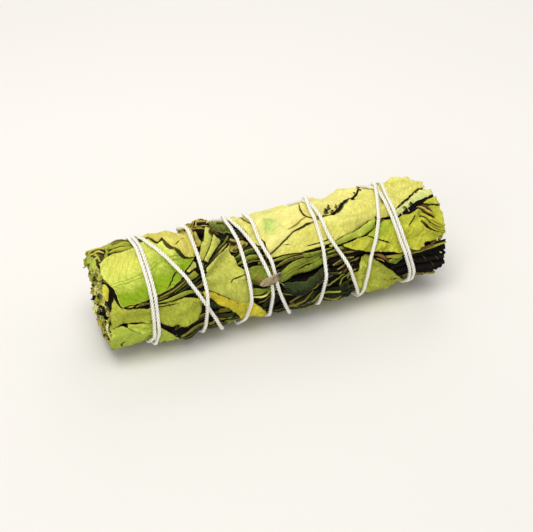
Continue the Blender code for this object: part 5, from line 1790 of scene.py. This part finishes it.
@dataclass
class CutEnd:
    """Crumpled leaf ends that fill one end of the bunch."""

    shape: Shape
    side: int
    reach: float = 51.0
    root: float = 46.0
    ribbons: int = 46
    crumbs: int = 420
    bit_thickness: float = 0.26
    ribbon_thickness: float = 0.28

    def curled_bit(self, skin: Skin, middle: np.ndarray, axes: np.ndarray, size: tuple,
                   curl: float, seed: int) -> None:
        """Adds one small crumpled bit of leaf.

        Args:
            skin: The piece.
            middle: Its middle in metres.
            axes: Its three directions, rows of a turn.
            size: Length and width in millimetres.
            curl: How far its ends bend, in millimetres.
            seed: Its number.
        """
        s, t = np.meshgrid(np.linspace(-1, 1, 5 + int(size[0])),
                           np.linspace(-1, 1, 4 + int(size[1])), indexing="ij")
        rough = Ripple(seed, 2.4).at(s * size[0] / 2, t * size[1] / 2)
        width = size[1] / 2 * (1 - 0.35 * s**2) * (1 + 0.07 * rough)
        bend = curl * (s**2 + 0.6 * t**2 - 0.5) + 0.28 * rough
        local = np.stack([s * size[0] / 2 * (1 + 0.05 * rough), t * width, bend], axis=-1)
        sheet = middle + local @ axes * MM
        rim = np.minimum((1 - np.abs(s)) * size[0] / 2, (1 - np.abs(t)) * size[1] / 2).ravel()
        tone = np.full(rim.shape, 0.2 + 0.6 * ((seed * 0.618) % 1.0))
        skin.add_sheet(sheet, sheet - axes[2] * self.bit_thickness * MM,
                       (local[..., 0], local[..., 1], 1.7 * seed), rim=rim, tone=tone)

    def ribbon(self, skin: Skin, ring: float, start: float, sweep: float, tip: float,
               seed: int, torn: float = 0.3) -> None:
        """Adds the cut edge of one rolled leaf, as a wavy ribbon round the axis.

        Args:
            skin: The piece.
            ring: Its distance from the axis.
            start: Its first angle.
            sweep: How far round it goes, in degrees.
            tip: Station of its outer edge.
            seed: Its number.
            torn: How rough its outer edge is.
        """
        cells = max(8, int(math.radians(sweep) * ring / 0.45))
        angle = start + np.linspace(0, sweep, cells)[None, :]
        depth = np.linspace(0, 1, 7)[:, None]
        arc = np.radians(angle - start) * ring
        wave = 0.65 * Ripple(seed, 3.2).at(arc, depth * 3)
        tear = torn * Ripple(seed + 1, 1.8).at(arc, 0.0)
        station = self.side * (self.root + depth * (tip - self.root + tear))
        limit = self.shape.radius(station, angle, 0.0) + 0.4
        radius = np.minimum(ring + wave * (0.4 + 0.6 * depth), limit)
        rim = ((1 - depth) * (tip - self.root) + 0 * arc).ravel()
        tone = np.full(rim.shape, 0.1 + 0.8 * ((seed * 0.377) % 1.0))
        skin.add_sheet(self.shape.place(station, angle, radius),
                       self.shape.place(station, angle, radius - self.ribbon_thickness),
                       (arc, depth * 5, 1.3 * seed), rim=rim, tone=tone)

    def turned(self, draw: np.random.Generator, facing: np.ndarray, spread: float) -> np.ndarray:
        """Random axes whose third points roughly along facing.

        Args:
            draw: The generator.
            facing: The usual direction.
            spread: How far it strays.

        Returns:
            Three unit rows.
        """
        third = facing + draw.normal(0, spread, 3)
        third /= np.linalg.norm(third)
        first = np.cross(third, draw.normal(0, 1, 3))
        first /= np.linalg.norm(first)
        return np.stack([first, np.cross(third, first), third])

    def build(self) -> None:
        """The end's pieces, one for each finish."""
        draw = np.random.default_rng(SEED + 30 + self.side)
        skins = {hue: Skin() for hue in (Hue.CRUMB, Hue.GREEN, Hue.DRY_OLIVE, Hue.BLACK,
                                         Hue.OLIVE, Hue.DARK_GREEN, Hue.WARM_YELLOW,
                                         Hue.WHITISH)}
        for k in range(self.ribbons):
            ring = 12.9 * math.sqrt(draw.uniform(0.02, 1.0))
            start = draw.uniform(-180, 180)
            sweep = min(200.0, draw.uniform(5, 13) / max(ring, 1.5) * 57.3)
            hue = self.hue_at(draw, start + sweep / 2, ring)
            self.ribbon(skins[hue], ring, start, sweep, self.reach - draw.uniform(0.2, 2.2),
                        1000 + 10 * k)
        for k in range(self.crumbs):
            ring, angle = 13.3 * math.sqrt(draw.uniform(0, 1)), draw.uniform(-180, 180)
            station = self.side * (self.reach - draw.uniform(0.5, 3.0))
            middle = self.shape.place(station, angle, min(ring, 13.0))
            facing = np.array([self.side * 1.0, -math.sin(math.radians(angle)) * 0.8,
                               math.cos(math.radians(angle)) * 0.8])
            size = (draw.uniform(1.1, 3.6), draw.uniform(0.8, 2.1))
            hue = self.hue_at(draw, angle, ring)
            self.curled_bit(skins[hue], middle, self.turned(draw, facing, 0.7), size,
                            draw.uniform(-0.9, 0.9), 3000 + k)
        if self.side < 0:
            self.add_larger_bits(skins)
        place = "cut" if self.side < 0 else "tip"
        for hue, skin in skins.items():
            if skin.count:
                skin.piece(f"{place}_end_{hue.name.lower()}", hue.material(), "inner",
                           ("inner_leaves",))

    def add_larger_bits(self, skins: dict[Hue, Skin]) -> None:
        """Adds the larger bits that show on the cut end.

        Args:
            skins: The piece of each finish.
        """
        bits = ((Hue.GREEN, -8, 12.4, 51.2, (5.4, 4.2), -0.9, 0.7),
                (Hue.GREEN, -34, 12.6, 51.1, (5.0, 4.4), -0.9, 0.7),
                (Hue.OLIVE, -62, 12.6, 51.0, (5.0, 3.8), 0.8, 0.7),
                (Hue.WHITISH, -165, 6.0, 51.8, (2.0, 1.6), 0.1, 0.1),
                (Hue.WHITISH, 100, 10.2, 51.5, (4.2, 1.1), 0.2, 0.2),
                (Hue.CRUMB, -150, 9.0, 51.4, (2.6, 1.6), 0.5, 0.2),
                (Hue.CRUMB, 60, 8.0, 51.4, (2.8, 1.8), -0.5, 0.3))
        for k, (hue, angle, ring, reach, size, curl, tilt) in enumerate(bits):
            turn = math.radians(angle)
            facing = np.array([self.side, -tilt * math.sin(turn), tilt * math.cos(turn)])
            facing /= np.linalg.norm(facing)
            around = np.array([0.0, -math.cos(turn), -math.sin(turn)])
            axes = np.stack([around, np.cross(facing, around), facing])
            self.curled_bit(skins[hue], self.shape.place(self.side * reach, angle, ring), axes,
                            size, curl, 5000 + k)
        self.ribbon(skins[Hue.WARM_YELLOW], 12.2, 138, 62, 51.4, 5100, 0.12)

    def hue_at(self, draw: np.random.Generator, angle: float, ring: float) -> Hue:
        """The finish of a bit: yellow-green crumbs, and dark ones low in front as painted shade.

        Args:
            draw: The generator.
            angle: The bit's angle.
            ring: Its distance from the axis.

        Returns:
            Its finish.
        """
        # Painted shade: most bits low in front are near black or dark green.
        low = 92 < angle % 360 < 182 and ring > 2.5
        if draw.uniform() < (0.82 if low else 0.10):
            return (Hue.BLACK, Hue.DARK_GREEN, Hue.BLACK)[draw.integers(3)]
        return (Hue.CRUMB, Hue.CRUMB, Hue.GREEN, Hue.OLIVE, Hue.DRY_OLIVE)[draw.integers(5)]


@dataclass
class CutStems:
    """Cut twigs in the middle of the cut end."""

    stems: tuple = ((2.0, 20, 2.6), (3.2, 140, 2.2), (3.0, 260, 2.4))
    length: float = 15.0
    sides: int = 20

    def build(self) -> None:
        """Each twig as its own piece, with a rough cut face and ribbed sides."""
        finish = WoodFinish("cut_twig", (0.42, 0.35, 0.17), (0.14, 0.10, 0.035)).material()
        for k, (away, angle, diameter) in enumerate(self.stems):
            turn = math.radians(angle)
            bends = np.arange(self.sides) * math.tau / self.sides
            rings = [(-50.2, 0.05), (-50.25, 0.5), (-50.15, 0.9), (-49.9, 1.0)]
            rings += [(-49.9 + step, 1.0) for step in np.linspace(1, self.length - 1, 14)]
            rings += [(-35.2, 0.9), (-35.1, 0.05)]
            points = []
            for x, share in rings:
                rough = 1 + 0.06 * np.sin(5 * bends + k) + 0.03 * np.sin(9 * bends + x)
                r = diameter / 2 * 0.96 * share * rough
                y = AXIS_Y - away * math.sin(turn) + r * np.cos(bends)
                z = AXIS_HEIGHT + away * math.cos(turn) + r * np.sin(bends)
                points.append(np.stack([x + 0.08 * np.sin(7 * bends + k), y, z], axis=1) * MM)
            points = np.concatenate(points)
            skin = Skin()
            skin.add(points, tube_faces(len(rings), self.sides), points / MM)
            skin.piece(f"stem_{k + 1}_twig", finish, "stem", (f"stem_{k + 1}",))


@dataclass
class SageBunch:
    """The whole bunch: packed leaves, outer leaves, ends, stems, string and scrap."""

    scrap_edges: tuple[Edge, Edge] = (((-7.9, 73.5), (-6.8, 70), (-5.0, 67.5), (-3.0, 66.5),
                                       (-1.1, 67)),
                                      ((-7.9, 75.5), (-6.5, 77), (-4.5, 75), (-2.6, 72.5),
                                       (-1.1, 70)))
    packed: PackedLeaves = field(default_factory=PackedLeaves)

    def lay_all(self) -> None:
        """Lays every leaf, deepest first, and works out the bunch's form."""
        self.route = StringRoute()
        self.string_distance = self.route.distance()
        self.layers = Layers(0.0)
        self.packed.relief(self.layers)
        self.slivers = self.packed.slivers()
        self.back = far_side_leaves()
        self.front = front_leaves()
        for leaf in self.slivers:
            leaf.lay(self.layers, self.string_distance)
        self.core_layers = Layers(0.0)
        self.packed.relief(self.core_layers)
        for seed, leaf in enumerate(self.back + self.front):
            leaf.seed = seed + 1
            leaf.lay(self.layers, self.string_distance)
        self.shape = Shape(self.layers, self.string_distance)

    def build(self) -> None:
        """Builds every piece from the inside out."""
        self.lay_all()
        self.packed.build_core(self.shape, self.core_layers)
        groups: dict[Hue, Skin] = {}
        nodes = set(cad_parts)
        for leaf in self.slivers + self.front:
            if leaf.name not in nodes:
                leaf.add_to(groups.setdefault(leaf.hue, Skin()), self.shape)
        for hue, skin in groups.items():
            skin.piece(f"slender_{hue.name.lower()}", hue.material(), "inner",
                       ("inner_leaves",))
        for leaf in self.back + self.front:
            if leaf.name in nodes:
                leaf.build(self.shape)
        CutEnd(self.shape, -1).build()
        CutEnd(self.shape, 1).build()
        CutStems().build()
        string = CottonString(self.shape, self.layers, self.route)
        string.build()
        self.build_scrap(string)

    def build_scrap(self, string: CottonString) -> None:
        """The scrap of dried leaf that lies over the string."""
        across = string.diameter / 2 * np.array([[-1, -0.5, 0, 0.5, 1]])
        dome = np.sqrt(1 - np.array([[-0.98, -0.5, 0, 0.5, 0.98]]) ** 2) * string.diameter / 2
        height = string.radius - self.shape.radius(string.station, string.angle, 0.0)
        self.layers.lay(string.station[:, None] + across, string.angle[:, None] + 0 * across,
                        height[:, None] + dome)
        scrap = Leaf("dried_scrap", Hue.SCRAP, "bark", *self.scrap_edges, lift=0.25,
                     crumple=0.25, crumple_size=1.6, torn=0.25, step=0.2, thickness=0.3,
                     tone=(0.0, 0.6), patches=((-1.7, 68.5, 1.1, 1.0), (-4.0, 70, 0.5, 0.6)),
                     seed=77)
        scrap.lay(self.layers, Layers(FAR))
        scrap.build(self.shape, "_curled")


@dataclass
class Studio:
    """Floor, lights and the camera at the photograph's view."""

    azimuth: float = -21.08
    elevation: float = 36.3
    distance: float = 0.400
    lens: float = 91.76
    target: tuple[float, float, float] = (-0.0002, -0.00025, 0.0136)

    def build(self) -> None:
        """Sets up the floor, the lights and the camera."""
        self.build_floor()
        self.build_camera()
        self.area("key", (-0.10, -0.16, 0.62), 0.40, 2.9, (1.0, 0.99, 0.97))
        self.area("fill", (-0.55, -0.55, 0.30), 0.60, 2.1, (1.0, 0.99, 0.975))
        self.area("back", (0.25, 0.55, 0.45), 0.50, 1.1, (1.0, 0.99, 0.97))
        world = bpy.data.worlds.new("studio")
        world.use_nodes = True
        world.node_tree.nodes["Background"].inputs["Color"].default_value = (1.0, 0.99, 0.97, 1)
        world.node_tree.nodes["Background"].inputs["Strength"].default_value = 0.50
        bpy.context.scene.world = world
        bpy.context.scene.view_settings.view_transform = "Standard"

    def build_floor(self) -> None:
        """A plain pale floor, not part of the bunch."""
        mesh = bpy.data.meshes.new("studio_floor")
        mesh.from_pydata([(-4, -4, 0), (4, -4, 0), (4, 4, 0), (-4, 4, 0)], [], [(0, 1, 2, 3)])
        mesh.materials.append(FloorFinish().material())
        floor = bpy.data.objects.new("studio_floor", mesh)
        bpy.context.scene.collection.objects.link(floor)
        floor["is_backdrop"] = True

    def build_camera(self) -> None:
        """The camera, looking at the middle of the bunch."""
        a, e = math.radians(self.azimuth), math.radians(self.elevation)
        back = Vector((math.sin(a) * math.cos(e), -math.cos(a) * math.cos(e), math.sin(e)))
        data = bpy.data.cameras.new("camera")
        data.lens = self.lens
        data.sensor_width = 36.0
        data.clip_start = 0.01
        camera = bpy.data.objects.new("camera", data)
        camera.location = Vector(self.target) + back * self.distance
        camera.rotation_mode = "QUATERNION"
        camera.rotation_quaternion = (-back).to_track_quat("-Z", "Y")
        bpy.context.scene.collection.objects.link(camera)
        bpy.context.scene.camera = camera

    def area(self, name: str, place: tuple, size: float, power: float,
             colour: Colour) -> None:
        """A soft square light that faces the bunch.

        Args:
            name: Its name.
            place: Where it hangs, in metres.
            size: Its side in metres.
            power: Its power in watts.
            colour: Its colour.
        """
        data = bpy.data.lights.new(name, "AREA")
        data.size = size
        data.energy = power
        data.color = colour
        light = bpy.data.objects.new(name, data)
        light.location = place
        light.rotation_mode = "QUATERNION"
        light.rotation_quaternion = (Vector((0, 0, 0.015)) - Vector(place)).to_track_quat("-Z",
                                                                                         "Y")
        bpy.context.scene.collection.objects.link(light)


def main() -> None:
    """Builds the bunch and the studio and notes the sizes."""
    logging.basicConfig(level=logging.INFO, format="%(name)s: %(message)s")
    SageBunch().build()
    Studio().build()
    boxes = {"cad": [list(corner) for corner in cad_box],
             "visual": [list(corner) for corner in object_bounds()]}
    for name, box in boxes.items():
        LOG.info("%s box in mm: %s", name, [[round(v / MM, 2) for v in c] for c in box])


if __name__ == "__main__":
    main()
